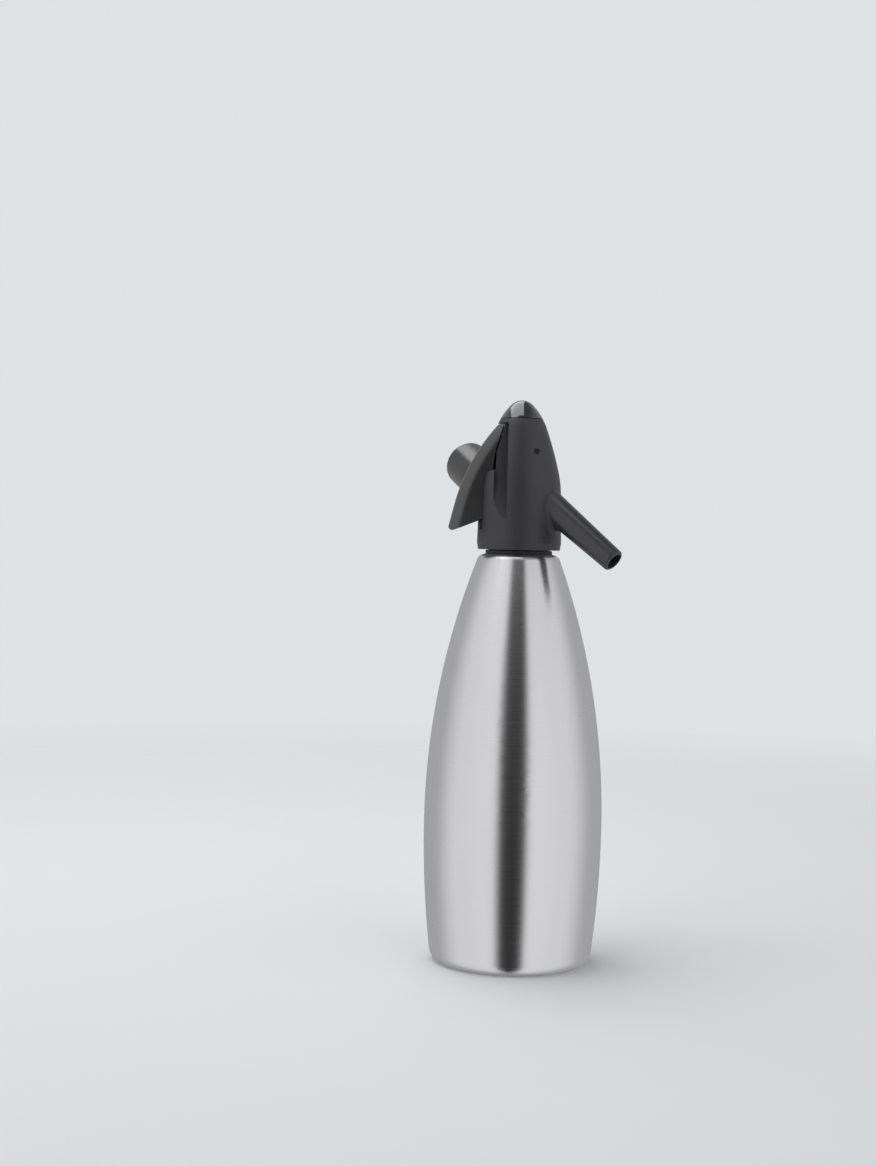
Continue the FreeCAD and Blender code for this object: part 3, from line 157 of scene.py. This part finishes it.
def bottle_steel():
    """Stainless steel, brushed round the bottle, with faint wipe marks."""
    steel = Finish(
        "brushed_bottle_steel",
        (0.62, 0.62, 0.63),
        roughness=0.29,
        metallic=1.0,
        Anisotropic=0.85,
        Anisotropic_Rotation=0.25,
    )
    around = steel.node("ShaderNodeTangent", direction_type="RADIAL", axis="Z")
    steel.wire(around.outputs["Tangent"], steel.shader.inputs["Tangent"])
    lines = steel.noise(detail=3.0, vector=steel.stretched((14, 14, 7000)), roughness=0.6)
    wipes = steel.noise(scale=22, detail=4.0, vector=steel.stretched((1, 1, 0.35)))
    steel.vary_colour(wipes, dark=(0.605, 0.605, 0.615), light=(0.64, 0.64, 0.645))
    steel.vary_roughness(lines, low=0.265, high=0.315)
    steel.raise_by(lines, height=0.0018 * MM, strength=0.5)
    steel.raise_by(wipes, height=0.2 * MM, strength=0.015)
    return steel.material


def drawn_steel(name, tone, roughness):
    """Drawn steel with fine marks along Z."""
    steel = Finish(name, (tone, tone, tone * 1.01), roughness, metallic=1.0)
    marks = steel.noise(vector=steel.stretched((2400, 2400, 60)))
    steel.vary_roughness(marks, low=roughness * 0.8, high=roughness * 1.3)
    steel.raise_by(marks, height=0.01 * MM, strength=0.4)
    return steel.material


def turned_metal(name, colour, roughness=0.26):
    """Lathe-turned metal with fine rings and slightly uneven colour."""
    metal = Finish(name, colour, roughness, metallic=1.0)
    rings = metal.noise(vector=metal.stretched((30, 30, 3200)))
    stain = metal.noise(scale=160, detail=4.0)
    metal.vary_colour(stain, dark=[c * 0.86 for c in colour], light=colour)
    metal.vary_roughness(rings, low=roughness * 0.8, high=roughness * 1.35)
    metal.raise_by(rings, height=0.02 * MM, strength=0.5)
    return metal.material


def cast_alloy():
    """Die-cast alloy with a fine sand-like skin."""
    alloy = Finish("cast_alloy", (0.50, 0.51, 0.53), roughness=0.42, metallic=1.0)
    grain = alloy.noise(scale=2600, detail=3.0)
    clouds = alloy.noise(scale=120, detail=3.0)
    alloy.vary_colour(clouds, dark=(0.44, 0.45, 0.47), light=(0.54, 0.55, 0.57))
    alloy.vary_roughness(clouds, low=0.36, high=0.5)
    alloy.raise_by(grain, height=0.05 * MM, strength=0.5)
    return alloy.material


# Edges of mouldings look rounded by this radius.
MOULDED_EDGE = 0.35 * MM
# Hands polish a moulding from the first distance off the Z axis outwards, fully at the second.
POLISH_START, POLISH_FULL = 24 * MM, 32 * MM


def satin_plastic(name, colour, roughness, polished=None, **sockets):
    """Moulded plastic with a fine grain and softly uneven gloss.

    Where it stands far from the Z axis, as the spout does, it can have a second roughness.
    """
    plastic = Finish(name, colour, roughness, **sockets)
    plastic.soften_edges(MOULDED_EDGE)
    grain = plastic.noise(scale=2200)
    flow = plastic.noise(scale=35, detail=3.0, vector=plastic.stretched((1, 1, 0.4)))
    plastic.vary_colour(flow, dark=colour, light=[c * 1.12 for c in colour])
    plastic.vary_roughness(flow, low=roughness * 0.9, high=roughness * 1.15)
    if polished:
        reach = plastic.length(plastic.stretched((1, 1, 0)))
        share = plastic.spread(reach, 1, polished / roughness, POLISH_START, POLISH_FULL)
        socket = plastic.shader.inputs["Roughness"]
        plastic.wire(plastic.math("MULTIPLY", socket.links[0].from_socket, share), socket)
    plastic.raise_by(grain, height=0.03 * MM, strength=0.35)
    plastic.raise_by(flow, height=0.3 * MM, strength=0.05)
    return plastic.material


def gloss_plastic():
    """Polished plastic with a slight waviness left by the mould."""
    colour = (0.016, 0.016, 0.0175)
    plastic = Finish("cap_plastic", colour, roughness=0.07, Coat_Weight=1.0, Coat_Roughness=0.03)
    waves = plastic.noise(scale=90)
    specks = plastic.noise(scale=900, detail=4.0)
    plastic.vary_roughness(specks, low=0.06, high=0.11)
    plastic.raise_by(waves, height=0.1 * MM, strength=0.12)
    return plastic.material


def milk_plastic():
    """Translucent white plastic of the inner tubes."""
    plastic = Finish(
        "milk_plastic",
        (0.78, 0.78, 0.74),
        roughness=0.38,
        Subsurface_Weight=0.25,
        Subsurface_Radius=(2 * MM, 2 * MM, 1.8 * MM),
    )
    clouds = plastic.noise(scale=70, detail=3.0)
    grain = plastic.noise(scale=1800)
    plastic.vary_colour(clouds, dark=(0.74, 0.74, 0.69), light=(0.82, 0.82, 0.79))
    plastic.raise_by(grain, height=0.03 * MM, strength=0.3)
    return plastic.material


def black_rubber():
    """Matt black rubber with a dusty bloom."""
    rubber = Finish("black_rubber", (0.022, 0.022, 0.023), roughness=0.72, Sheen_Weight=0.15)
    bloom = rubber.noise(scale=260, detail=4.0)
    grain = rubber.noise(scale=2400)
    rubber.vary_colour(bloom, dark=(0.018, 0.018, 0.019), light=(0.034, 0.034, 0.035))
    rubber.vary_roughness(bloom, low=0.62, high=0.82)
    rubber.raise_by(grain, height=0.04 * MM, strength=0.5)
    return rubber.material


DARK_PLASTIC = (0.0125, 0.0120, 0.0136)
SOFT_DARK_PLASTIC = (0.0245, 0.0235, 0.0262)

BOTTLE_STEEL = bottle_steel()
DRAWN_STEEL = drawn_steel("drawn_steel", tone=0.56, roughness=0.22)
SPRING_STEEL = drawn_steel("spring_steel", tone=0.42, roughness=0.3)
BLUED_STEEL = drawn_steel("blued_steel", tone=0.10, roughness=0.5)
WELD_STEEL = drawn_steel("weld_steel", tone=0.40, roughness=0.35)
BRASS = turned_metal("turned_brass", (0.66, 0.47, 0.20))
NECK_STEEL = turned_metal("turned_steel", (0.55, 0.55, 0.56), roughness=0.3)
CAST_ALLOY = cast_alloy()
HEAD_PLASTIC = satin_plastic(
    "head_plastic", SOFT_DARK_PLASTIC, roughness=0.47, polished=0.30, Specular_IOR_Level=0.52
)
LEVER_PLASTIC = satin_plastic(
    "lever_plastic",
    DARK_PLASTIC,
    roughness=0.36,
    Specular_IOR_Level=0.9,
    Coat_Weight=0.3,
    Coat_Roughness=0.25,
)
HOLDER_PLASTIC = satin_plastic(
    "holder_plastic", DARK_PLASTIC, roughness=0.24, Specular_IOR_Level=0.75
)
CAP_PLASTIC = gloss_plastic()
MILK_PLASTIC = milk_plastic()
RUBBER = black_rubber()

NODE_FINISHES = {
    BOTTLE_STEEL: ("bottle_shell", "bottle_base"),
    NECK_STEEL: ("neck_ring", "co2_charger"),
    DRAWN_STEEL: ("riser_tube", "spout_tube", "valve_stem", "piercing_needle"),
    SPRING_STEEL: ("valve_spring", "relief_spring", "retaining_ring"),
    BLUED_STEEL: ("lever_pin",),
    BRASS: (
        "valve_seat",
        "gland_nut",
        "relief_plunger",
        "relief_cap",
        "charger_adaptor",
        "holder_insert",
    ),
    CAST_ALLOY: ("valve_block",),
    HEAD_PLASTIC: ("head_shell",),
    LEVER_PLASTIC: ("lever",),
    HOLDER_PLASTIC: ("charger_holder",),
    CAP_PLASTIC: ("top_cap",),
    MILK_PLASTIC: ("measuring_tube", "riser_collar", "port_sleeve", "stem_cap"),
    RUBBER: (
        "buffer_ring",
        "riser_tube_gasket",
        "head_gasket",
        "stem_seal",
        "valve_washer",
        "spout_seal",
        "charger_seal",
        "holder_cushion",
    ),
}

for finish, nodes in NODE_FINISHES.items():
    for node in nodes:
        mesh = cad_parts[node].data
        mesh.materials.clear()
        mesh.materials.append(finish)


# ---------------------------------------------------------------- shapes grown by rules


class Tree:
    """A Geometry Nodes tree with named inputs, and short calls for its nodes."""

    def __init__(self, name):
        self.group = bpy.data.node_groups.new(name, "GeometryNodeTree")
        self.group.interface.new_socket(
            "Geometry", in_out="OUTPUT", socket_type="NodeSocketGeometry"
        )
        self.entry = self.group.nodes.new("NodeGroupInput")

    def size(self, name, kind="Float"):
        """A named input of the tree."""
        self.group.interface.new_socket(name, in_out="INPUT", socket_type=f"NodeSocket{kind}")
        return self.entry.outputs[name]

    def node(self, kind, settings=None, **inputs):
        """A node; its inputs are numbers or the outputs of other nodes."""
        made = self.group.nodes.new(kind)
        for key, value in (settings or {}).items():
            setattr(made, key, value)
        for label, value in inputs.items():
            feed(self.group.links, made.inputs[label.replace("_", " ")], value)
        return made

    def math(self, operation, first, second):
        made = self.node("ShaderNodeMath", {"operation": operation})
        for socket, value in zip(made.inputs, (first, second)):
            feed(self.group.links, socket, value)
        return made.outputs[0]

    def point(self, x, y, z=0.0):
        return self.node("ShaderNodeCombineXYZ", X=x, Y=y, Z=z).outputs[0]

    def helix(self, radius, height, turns, steps):
        """A right-handed helix with this many steps in each turn."""
        spiral = self.node(
            "GeometryNodeCurveSpiral",
            Resolution=steps,
            Rotations=turns,
            Start_Radius=radius,
            End_Radius=radius,
            Height=height,
            Reverse=True,
        )
        return spiral.outputs[0]

    def raised(self, geometry, height):
        lift = self.point(0.0, 0.0, height)
        made = self.node("GeometryNodeTransform", Geometry=geometry, Translation=lift)
        return made.outputs[0]

    def close(self, geometry, finish):
        """Realize what is instanced, give it its finish and end the tree."""
        real = self.node("GeometryNodeRealizeInstances", Geometry=geometry)
        painted = self.node(
            "GeometryNodeSetMaterial", Geometry=real.outputs[0], Material=finish
        )
        self.node("NodeGroupOutput", Geometry=painted.outputs[0])
        return self

    def grow(self, name, **sizes):
        """A plain mesh object that the tree makes from these sizes."""
        piece = bpy.data.objects.new(name, bpy.data.meshes.new(name))
        bpy.context.scene.collection.objects.link(piece)
        modifier = piece.modifiers.new(name, "NODES")
        modifier.node_group = self.group
        for item in self.group.interface.items_tree:
            label = item.name.lower().replace(" ", "_")
            if item.in_out == "INPUT" and label in sizes:
                modifier[item.identifier] = sizes[label]
        return applied(piece, modifier)


def applied(piece, modifier):
    """The piece with its modifier's result as a plain mesh, and the modifier removed."""
    graph = bpy.context.evaluated_depsgraph_get()
    mesh = bpy.data.meshes.new_from_object(piece.evaluated_get(graph))
    piece.modifiers.remove(modifier)
    piece.data = mesh
    return piece


# Steps in one turn of a thread and of a spring, and sides of a spring's wire.
THREAD_STEPS = 96
COIL_STEPS = 32
WIRE_SIDES = 12
# At each end a rib shrinks over this angle, down to the smallest share of its size.
RUN_OUT_ANGLE = math.pi / 3
SMALLEST_RIB = 0.02


def thread_tree(name, finish):
    """A screw thread: a tapered rib along a right-handed helix, run out at both ends."""
    tree = Tree(name)
    radius, depth, pitch = tree.size("Radius"), tree.size("Depth"), tree.size("Pitch")
    turns, foot, crest = tree.size("Turns"), tree.size("Foot Width"), tree.size("Crest Width")
    start = tree.size("Start Height")
    height = tree.math("MULTIPLY", pitch, turns)
    helix = tree.helix(radius, height, turns, THREAD_STEPS)
    upright = tree.node("GeometryNodeSetCurveNormal", {"mode": "Z_UP"}, Curve=helix)
    section = tree.node(
        "GeometryNodeCurvePrimitiveQuadrilateral",
        {"mode": "POINTS"},
        Point_1=tree.point(0.0, tree.math("MULTIPLY", foot, -0.5)),
        Point_2=tree.point(depth, tree.math("MULTIPLY", crest, -0.5)),
        Point_3=tree.point(depth, tree.math("MULTIPLY", crest, 0.5)),
        Point_4=tree.point(0.0, tree.math("MULTIPLY", foot, 0.5)),
    )
    along = tree.node("GeometryNodeSplineParameter").outputs["Length"]
    whole = tree.node("GeometryNodeSplineLength").outputs["Length"]
    run_out = tree.math("MULTIPLY", radius, RUN_OUT_ANGLE)
    ends = tree.math("MINIMUM", along, tree.math("SUBTRACT", whole, along))
    share = tree.node(
        "ShaderNodeClamp",
        Value=tree.math("DIVIDE", ends, run_out),
        Min=SMALLEST_RIB,
        Max=1.0,
    )
    rib = tree.node(
        "GeometryNodeCurveToMesh",
        Curve=upright.outputs[0],
        Profile_Curve=section.outputs[0],
        Scale=share.outputs[0],
        Fill_Caps=True,
    )
    return tree.close(tree.raised(rib.outputs[0], start), finish)


def wire_coil_tree(name, finish):
    """A compression spring of round wire."""
    tree = Tree(name)
    radius, wire = tree.size("Radius"), tree.size("Wire Radius")
    turns, length, start = tree.size("Turns"), tree.size("Length"), tree.size("Start Height")
    height = tree.math("SUBTRACT", length, tree.math("MULTIPLY", wire, 2.0))
    helix = tree.helix(radius, height, turns, COIL_STEPS)
    section = tree.node("GeometryNodeCurvePrimitiveCircle", Resolution=WIRE_SIDES, Radius=wire)
    coil = tree.node(
        "GeometryNodeCurveToMesh",
        Curve=helix,
        Profile_Curve=section.outputs[0],
        Fill_Caps=True,
    )
    return tree.close(tree.raised(coil.outputs[0], tree.math("ADD", start, wire)), finish)


# Proportions of one weld ripple, and how far ripples differ in size.
RIPPLE_SHAPE = (1.0, 0.8, 0.7)
RIPPLE_SMALLEST, RIPPLE_LARGEST, RIPPLE_SEED = 0.85, 1.15, 7


def weld_bead_tree(name, finish):
    """A run of overlapping weld ripples round a ring."""
    tree = Tree(name)
    radius, height = tree.size("Radius"), tree.size("Height")
    width, count = tree.size("Ripple Width"), tree.size("Ripple Count", "Int")
    ring = tree.node("GeometryNodeCurvePrimitiveCircle", Resolution=256, Radius=radius)
    spots = tree.node(
        "GeometryNodeCurveToPoints", {"mode": "COUNT"}, Curve=ring.outputs[0], Count=count
    )
    ripple = tree.node("GeometryNodeMeshUVSphere", Segments=10, Rings=6, Radius=width)
    uneven = tree.node(
        "FunctionNodeRandomValue",
        {"data_type": "FLOAT"},
        Min=RIPPLE_SMALLEST,
        Max=RIPPLE_LARGEST,
        Seed=RIPPLE_SEED,
    )
    size = tree.node("ShaderNodeVectorMath", {"operation": "SCALE"}, Vector=RIPPLE_SHAPE)
    tree.group.links.new(uneven.outputs[1], size.inputs["Scale"])
    beads = tree.node(
        "GeometryNodeInstanceOnPoints",
        Points=spots.outputs["Points"],
        Instance=ripple.outputs["Mesh"],
        Rotation=spots.outputs["Rotation"],
        Scale=size.outputs[0],
    )
    return tree.close(tree.raised(beads.outputs[0], height), finish)


# ---------------------------------------------------------------- pieces with real threads

RING_STEPS = 128


def turned_piece(name, finish, corners):
    """A ring turned from a closed outline of (radius, height) corners in millimetres."""
    form = bmesh.new()
    sides = []
    for step in range(RING_STEPS):
        angle = 2 * math.pi * step / RING_STEPS
        ray = Vector((math.cos(angle), math.sin(angle), 0))
        sides.append([form.verts.new((ray * r + Vector((0, 0, z))) * MM) for r, z in corners])
    for side, following in zip(sides, sides[1:] + sides[:1]):
        for index in range(len(corners)):
            ahead = (index + 1) % len(corners)
            form.faces.new((side[index], following[index], following[ahead], side[ahead]))
    bmesh.ops.recalc_face_normals(form, faces=form.faces)
    mesh = bpy.data.meshes.new(name)
    form.to_mesh(mesh)
    form.free()
    mesh.materials.append(finish)
    piece = bpy.data.objects.new(name, mesh)
    bpy.context.scene.collection.objects.link(piece)
    return piece


def smooth(piece, sharp_angle=35):
    piece.data.shade_smooth()
    piece.data.set_sharp_from_angle(angle=math.radians(sharp_angle))


def fused(piece, rib):
    """The piece with the rib joined to it as one skin."""
    modifier = piece.modifiers.new("rib", "BOOLEAN")
    modifier.operation = "UNION"
    modifier.solver = "EXACT"
    modifier.object = rib
    applied(piece, modifier)
    bpy.data.objects.remove(rib)
    return piece


# A rib's foot is sunk this far into the metal that it stands on.
SUNK = 0.05 * MM
# Width of a rib's foot and crest, as shares of the lead.
FOOT_SHARE, CREST_SHARE = 0.64, 0.2

# The neck's thread; its heights are counted from the seat of the head's collar.
NECK_LEAD = 3.0 * MM
NECK_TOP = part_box("neck_ring")[1].z / MM
NECK_LENGTH = 10.4
NECK_SEAT = NECK_TOP - NECK_LENGTH
NECK_THREAD_START = (NECK_SEAT + 3.5) * MM

# The holder's thread; its heights are counted along the holder's own axis.
HOLDER_LEAD = 2.25 * MM
HOLDER_THREAD_START = 22.0 * MM
HOLDER_HEIGHT = 251.8 * MM
HOLDER_TURN, HOLDER_RISE = math.radians(115), math.radians(22)
HOLDER_AXIS = Vector(
    (
        math.cos(HOLDER_TURN) * math.cos(HOLDER_RISE),
        math.sin(HOLDER_TURN) * math.cos(HOLDER_RISE),
        math.sin(HOLDER_RISE),
    )
)
HOLDER_SLANT = Vector((0, 0, 1)).rotation_difference(HOLDER_AXIS).to_matrix().to_4x4()
HOLDER_FRAME = Matrix.Translation((0, 0, HOLDER_HEIGHT)) @ HOLDER_SLANT


def thread_rib(name, finish, crest, depth, lead, start, turns):
    """A rib for a thread; a negative depth makes one that points inwards."""
    root = crest - depth
    rib = thread_tree(f"{name}_thread", finish).grow(
        name,
        radius=root - math.copysign(SUNK, depth),
        depth=depth + math.copysign(SUNK, depth),
        pitch=lead,
        turns=turns,
        foot_width=lead * FOOT_SHARE,
        crest_width=lead * CREST_SHARE,
        start_height=start,
    )
    if depth < 0:
        rib.data.flip_normals()
    return rib


def make_neck_ring():
    """Neck ring with its outer thread."""
    root, bore, spigot = 16.85, 14.6, 16.15
    seat, top = NECK_SEAT, NECK_TOP
    low = seat - 3.6
    band, band_top = root + 0.45, seat + 1.7
    chamfer, bore_chamfer = 0.4, 0.3
    core = turned_piece(
        "threaded_neck",
        NECK_STEEL,
        [
            (bore, low),
            (spigot, low),
            (spigot, seat),
            (band, seat),
            (band, band_top),
            (root, band_top + chamfer),
            (root, top - 0.5),
            (root - chamfer, top),
            (bore + bore_chamfer, top),
            (bore, top - bore_chamfer),
        ],
    )
    rib = thread_rib(
        "neck_rib",
        NECK_STEEL,
        crest=17.75 * MM,
        depth=0.9 * MM,
        lead=NECK_LEAD,
        start=NECK_THREAD_START,
        turns=1.85,
    )
    neck = fused(core, rib)
    smooth(neck)
    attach(neck, "bottle")
    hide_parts("neck_ring")


def make_socket_thread():
    """The matching thread inside the valve block, half a lead above the neck's."""
    rib = thread_rib(
        "socket_thread",
        CAST_ALLOY,
        crest=17.25 * MM,
        depth=-0.85 * MM,
        lead=NECK_LEAD,
        start=NECK_THREAD_START + NECK_LEAD / 2,
        turns=1.9,
    )
    smooth(rib)
    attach(rib, "head")


def make_adaptor():
    """Charger adaptor with its outer thread."""
    root, mouth, bore = 10.4, 9.6, 4.6
    stub, neck, chamfer = 7.5, 8.8, 0.4
    foot, step, shoulder, end = 10.4, 17.0, 20.0, 42.0
    cone_foot, cone_top = 18.0, 30.0
    core = turned_piece(
        "threaded_adaptor",
        BRASS,
        [
            (bore, foot),
            (stub, foot),
            (stub, step),
            (neck, step),
            (neck, shoulder),
            (root - chamfer, shoulder),
            (root, shoulder + chamfer),
            (root, end - chamfer),
            (root - chamfer, end),
            (mouth, end),
            (mouth, cone_top),
            (bore, cone_foot),
        ],
    )
    rib = thread_rib(
        "adaptor_rib",
        BRASS,
        crest=10.95 * MM,
        depth=0.55 * MM,
        lead=HOLDER_LEAD,
        start=HOLDER_THREAD_START,
        turns=8.2,
    )
    adaptor = fused(core, rib)
    adaptor.data.transform(HOLDER_FRAME)
    smooth(adaptor)
    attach(adaptor, "head")
    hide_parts("charger_adaptor")


def make_insert_thread():
    """The thread inside the holder's metal ring, half a lead off the adaptor's."""
    rib = thread_rib(
        "insert_thread",
        BRASS,
        crest=10.75 * MM,
        depth=-0.55 * MM,
        lead=HOLDER_LEAD,
        start=HOLDER_THREAD_START + HOLDER_LEAD * 5.5,
        turns=3.4,
    )
    rib.data.transform(HOLDER_FRAME)
    smooth(rib)
    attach(rib, "holder")


SPRING_TURNS = 5.0


def make_spring(coil, node, wire):
    """A spring of round wire in a node's place."""
    low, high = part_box(node)
    middle = (low + high) / 2
    length = high.z - low.z
    spring = coil.grow(
        f"{node}_wire",
        radius=(high.x - low.x) / 2 - wire,
        wire_radius=wire,
        turns=SPRING_TURNS,
        length=length,
        start_height=low.z,
    )
    spring.data.transform(Matrix.Translation((middle.x, middle.y, 0)))
    smooth(spring, sharp_angle=60)
    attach(spring, "head")
    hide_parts(node)
    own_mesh(spring)


def make_base_weld():
    """Weld that joins the dished base to the foot ring."""
    bead = weld_bead_tree("weld_bead", WELD_STEEL).grow(
        "base_weld",
        radius=34.5 * MM,
        height=1.35 * MM,
        ripple_width=1.1 * MM,
        ripple_count=220,
    )
    smooth(bead, sharp_angle=80)
    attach(bead, "bottle")


make_neck_ring()
make_socket_thread()
make_adaptor()
make_insert_thread()
wire_coil = wire_coil_tree("wire_coil", SPRING_STEEL)
make_spring(
    wire_coil, "valve_spring", wire=0.45 * MM
)
make_spring(
    wire_coil, "relief_spring", wire=0.3 * MM
)
make_base_weld()


# ---------------------------------------------------------------- studio

BACKDROP = (0.73, 0.76, 0.785, 1)

FLOOR_REACH = 3.0
# The floor lies just under the foot ring, so that their faces don't coincide.
FLOOR_LEVEL = -0.1 * MM
# Distances from the origin at which the floor starts to fade, and is gone.
FADE_START, FADE_STOP = 0.25, 1.3


def studio_floor():
    """A pale floor that keeps the shadow near the bottle and fades into the backdrop far off.

    It is clear to mirrored rays, and from below, so that the bottle's underside can be seen.
    """
    corners = ((-1, -1), (1, -1), (1, 1), (-1, 1))
    mesh = bpy.data.meshes.new("floor")
    mesh.from_pydata(
        [(x * FLOOR_REACH, y * FLOOR_REACH, FLOOR_LEVEL) for x, y in corners], [], [(0, 1, 2, 3)]
    )
    floor = bpy.data.objects.new("floor", mesh)
    bpy.context.scene.collection.objects.link(floor)

    paint = Finish(
        "floor_paint", (0.81, 0.833, 0.853), roughness=0.95, Specular_IOR_Level=0.1
    )
    blotches = paint.noise(scale=3.0)
    paint.vary_colour(blotches, dark=(0.805, 0.828, 0.848), light=(0.815, 0.838, 0.858))
    far = paint.spread(paint.length(paint.place), 0, 1, FADE_START, FADE_STOP)
    mirrored = paint.node("ShaderNodeLightPath").outputs["Is Glossy Ray"]
    below = paint.node("ShaderNodeNewGeometry").outputs["Backfacing"]
    gone = paint.math("MAXIMUM", far, paint.math("MAXIMUM", mirrored, below))
    blend = paint.node("ShaderNodeMixShader")
    paint.wire(gone, blend.inputs["Fac"])
    paint.wire(paint.shader.outputs[0], blend.inputs[1])
    paint.wire(paint.node("ShaderNodeBsdfTransparent").outputs[0], blend.inputs[2])
    paint.wire(blend.outputs[0], paint.nodes["Material Output"].inputs["Surface"])
    floor.data.materials.append(paint.material)


# Level of the surroundings at each compass point, in degrees to the right of the camera.
WORLD_STOPS = (
    (-180, 0.40),
    (-125, 0.55),
    (-75, 1.0),
    (-26, 1.08),
    (-13, 0.03),
    (13, 0.03),
    (24, 1.08),
    (75, 1.0),
    (125, 0.55),
    (180, 0.40),
)
CEILING = (0.24, 0.24, 0.245, 1)
# Upward part of a direction, at most 1, at which the ceiling starts, and has taken over.
CEILING_START, CEILING_FULL = 0.62, 0.88


def studio_world():
    """Soft surroundings by compass point, with a narrow dark screen in front and a dim ceiling."""
    world = bpy.data.worlds.new("studio")
    bpy.context.scene.world = world
    world.use_nodes = True
    nodes, links = world.node_tree.nodes, world.node_tree.links

    def calculated(operation, first, second):
        made = nodes.new("ShaderNodeMath")
        made.operation = operation
        for socket, value in zip(made.inputs, (first, second)):
            feed(links, socket, value)
        return made.outputs[0]

    def mixed(factor, first, second):
        made = nodes.new("ShaderNodeMix")
        made.data_type = "RGBA"
        for label, value in (("Factor", factor), ("A", first), ("B", second)):
            feed(links, made.inputs[label], value)
        return made.outputs["Result"]

    split = nodes.new("ShaderNodeSeparateXYZ")
    links.new(nodes.new("ShaderNodeTexCoord").outputs["Generated"], split.inputs["Vector"])
    ahead = calculated("MULTIPLY", split.outputs["Y"], -1.0)
    compass = calculated("ARCTAN2", split.outputs["X"], ahead)
    ramp = nodes.new("ShaderNodeValToRGB")
    ramp.color_ramp.interpolation = "EASE"
    while len(ramp.color_ramp.elements) < len(WORLD_STOPS):
        ramp.color_ramp.elements.new(0.5)
    for element, (degrees, level) in zip(ramp.color_ramp.elements, WORLD_STOPS):
        element.position = degrees / 360 + 0.5
        element.color = (level, level, level * 1.01, 1)
    share = calculated("ADD", calculated("DIVIDE", compass, 2 * math.pi), 0.5)
    links.new(share, ramp.inputs["Fac"])
    high = nodes.new("ShaderNodeMapRange")
    high.interpolation_type = "SMOOTHSTEP"
    high.inputs["From Min"].default_value = CEILING_START
    high.inputs["From Max"].default_value = CEILING_FULL
    links.new(split.outputs["Z"], high.inputs["Value"])
    around = mixed(high.outputs["Result"], ramp.outputs["Color"], CEILING)
    seen = nodes.new("ShaderNodeLightPath").outputs["Is Camera Ray"]
    links.new(mixed(seen, around, BACKDROP), nodes["Background"].inputs["Color"])


# The one lamp, a large softbox that faces straight down.
SOFTBOX_PLACE = Vector((-0.315, 0.22, 1.25))
SOFTBOX_SIZE = (0.89, 1.28)
SOFTBOX_WATTS = 9.0


def studio_lamp():
    light = bpy.data.lights.new("top_softbox", "AREA")
    light.shape = "RECTANGLE"
    light.size, light.size_y = SOFTBOX_SIZE
    light.energy = SOFTBOX_WATTS
    lamp = bpy.data.objects.new("top_softbox", light)
    lamp.location = SOFTBOX_PLACE
    lamp.rotation_mode = "QUATERNION"
    lamp.rotation_quaternion = Vector((0, 0, -SOFTBOX_PLACE.z)).to_track_quat("-Z", "Y")
    bpy.context.scene.collection.objects.link(lamp)


CAMERA_PLACE = (0, -1.0, 0.235)
CAMERA_LENS = 54.7
# Turned to the left, tipped down from level, and rolled about the line of sight, in degrees.
CAMERA_TURN, CAMERA_TIP, CAMERA_ROLL = 2.587, 1.324, 1.278


def studio_camera():
    """View from one metre, turned so that the bottle stands right of the middle and leans."""
    data = bpy.data.cameras.new("camera")
    data.lens = CAMERA_LENS
    camera = bpy.data.objects.new("camera", data)
    camera.location = CAMERA_PLACE
    camera.rotation_mode = "QUATERNION"
    camera.rotation_quaternion = (
        Quaternion((0, 0, 1), math.radians(CAMERA_TURN))
        @ Quaternion((1, 0, 0), math.radians(90 - CAMERA_TIP))
        @ Quaternion((0, 0, 1), math.radians(CAMERA_ROLL))
    )
    bpy.context.scene.collection.objects.link(camera)
    bpy.context.scene.camera = camera


studio_floor()
studio_world()
studio_lamp()
studio_camera()
bpy.context.scene.view_settings.view_transform = "Standard"
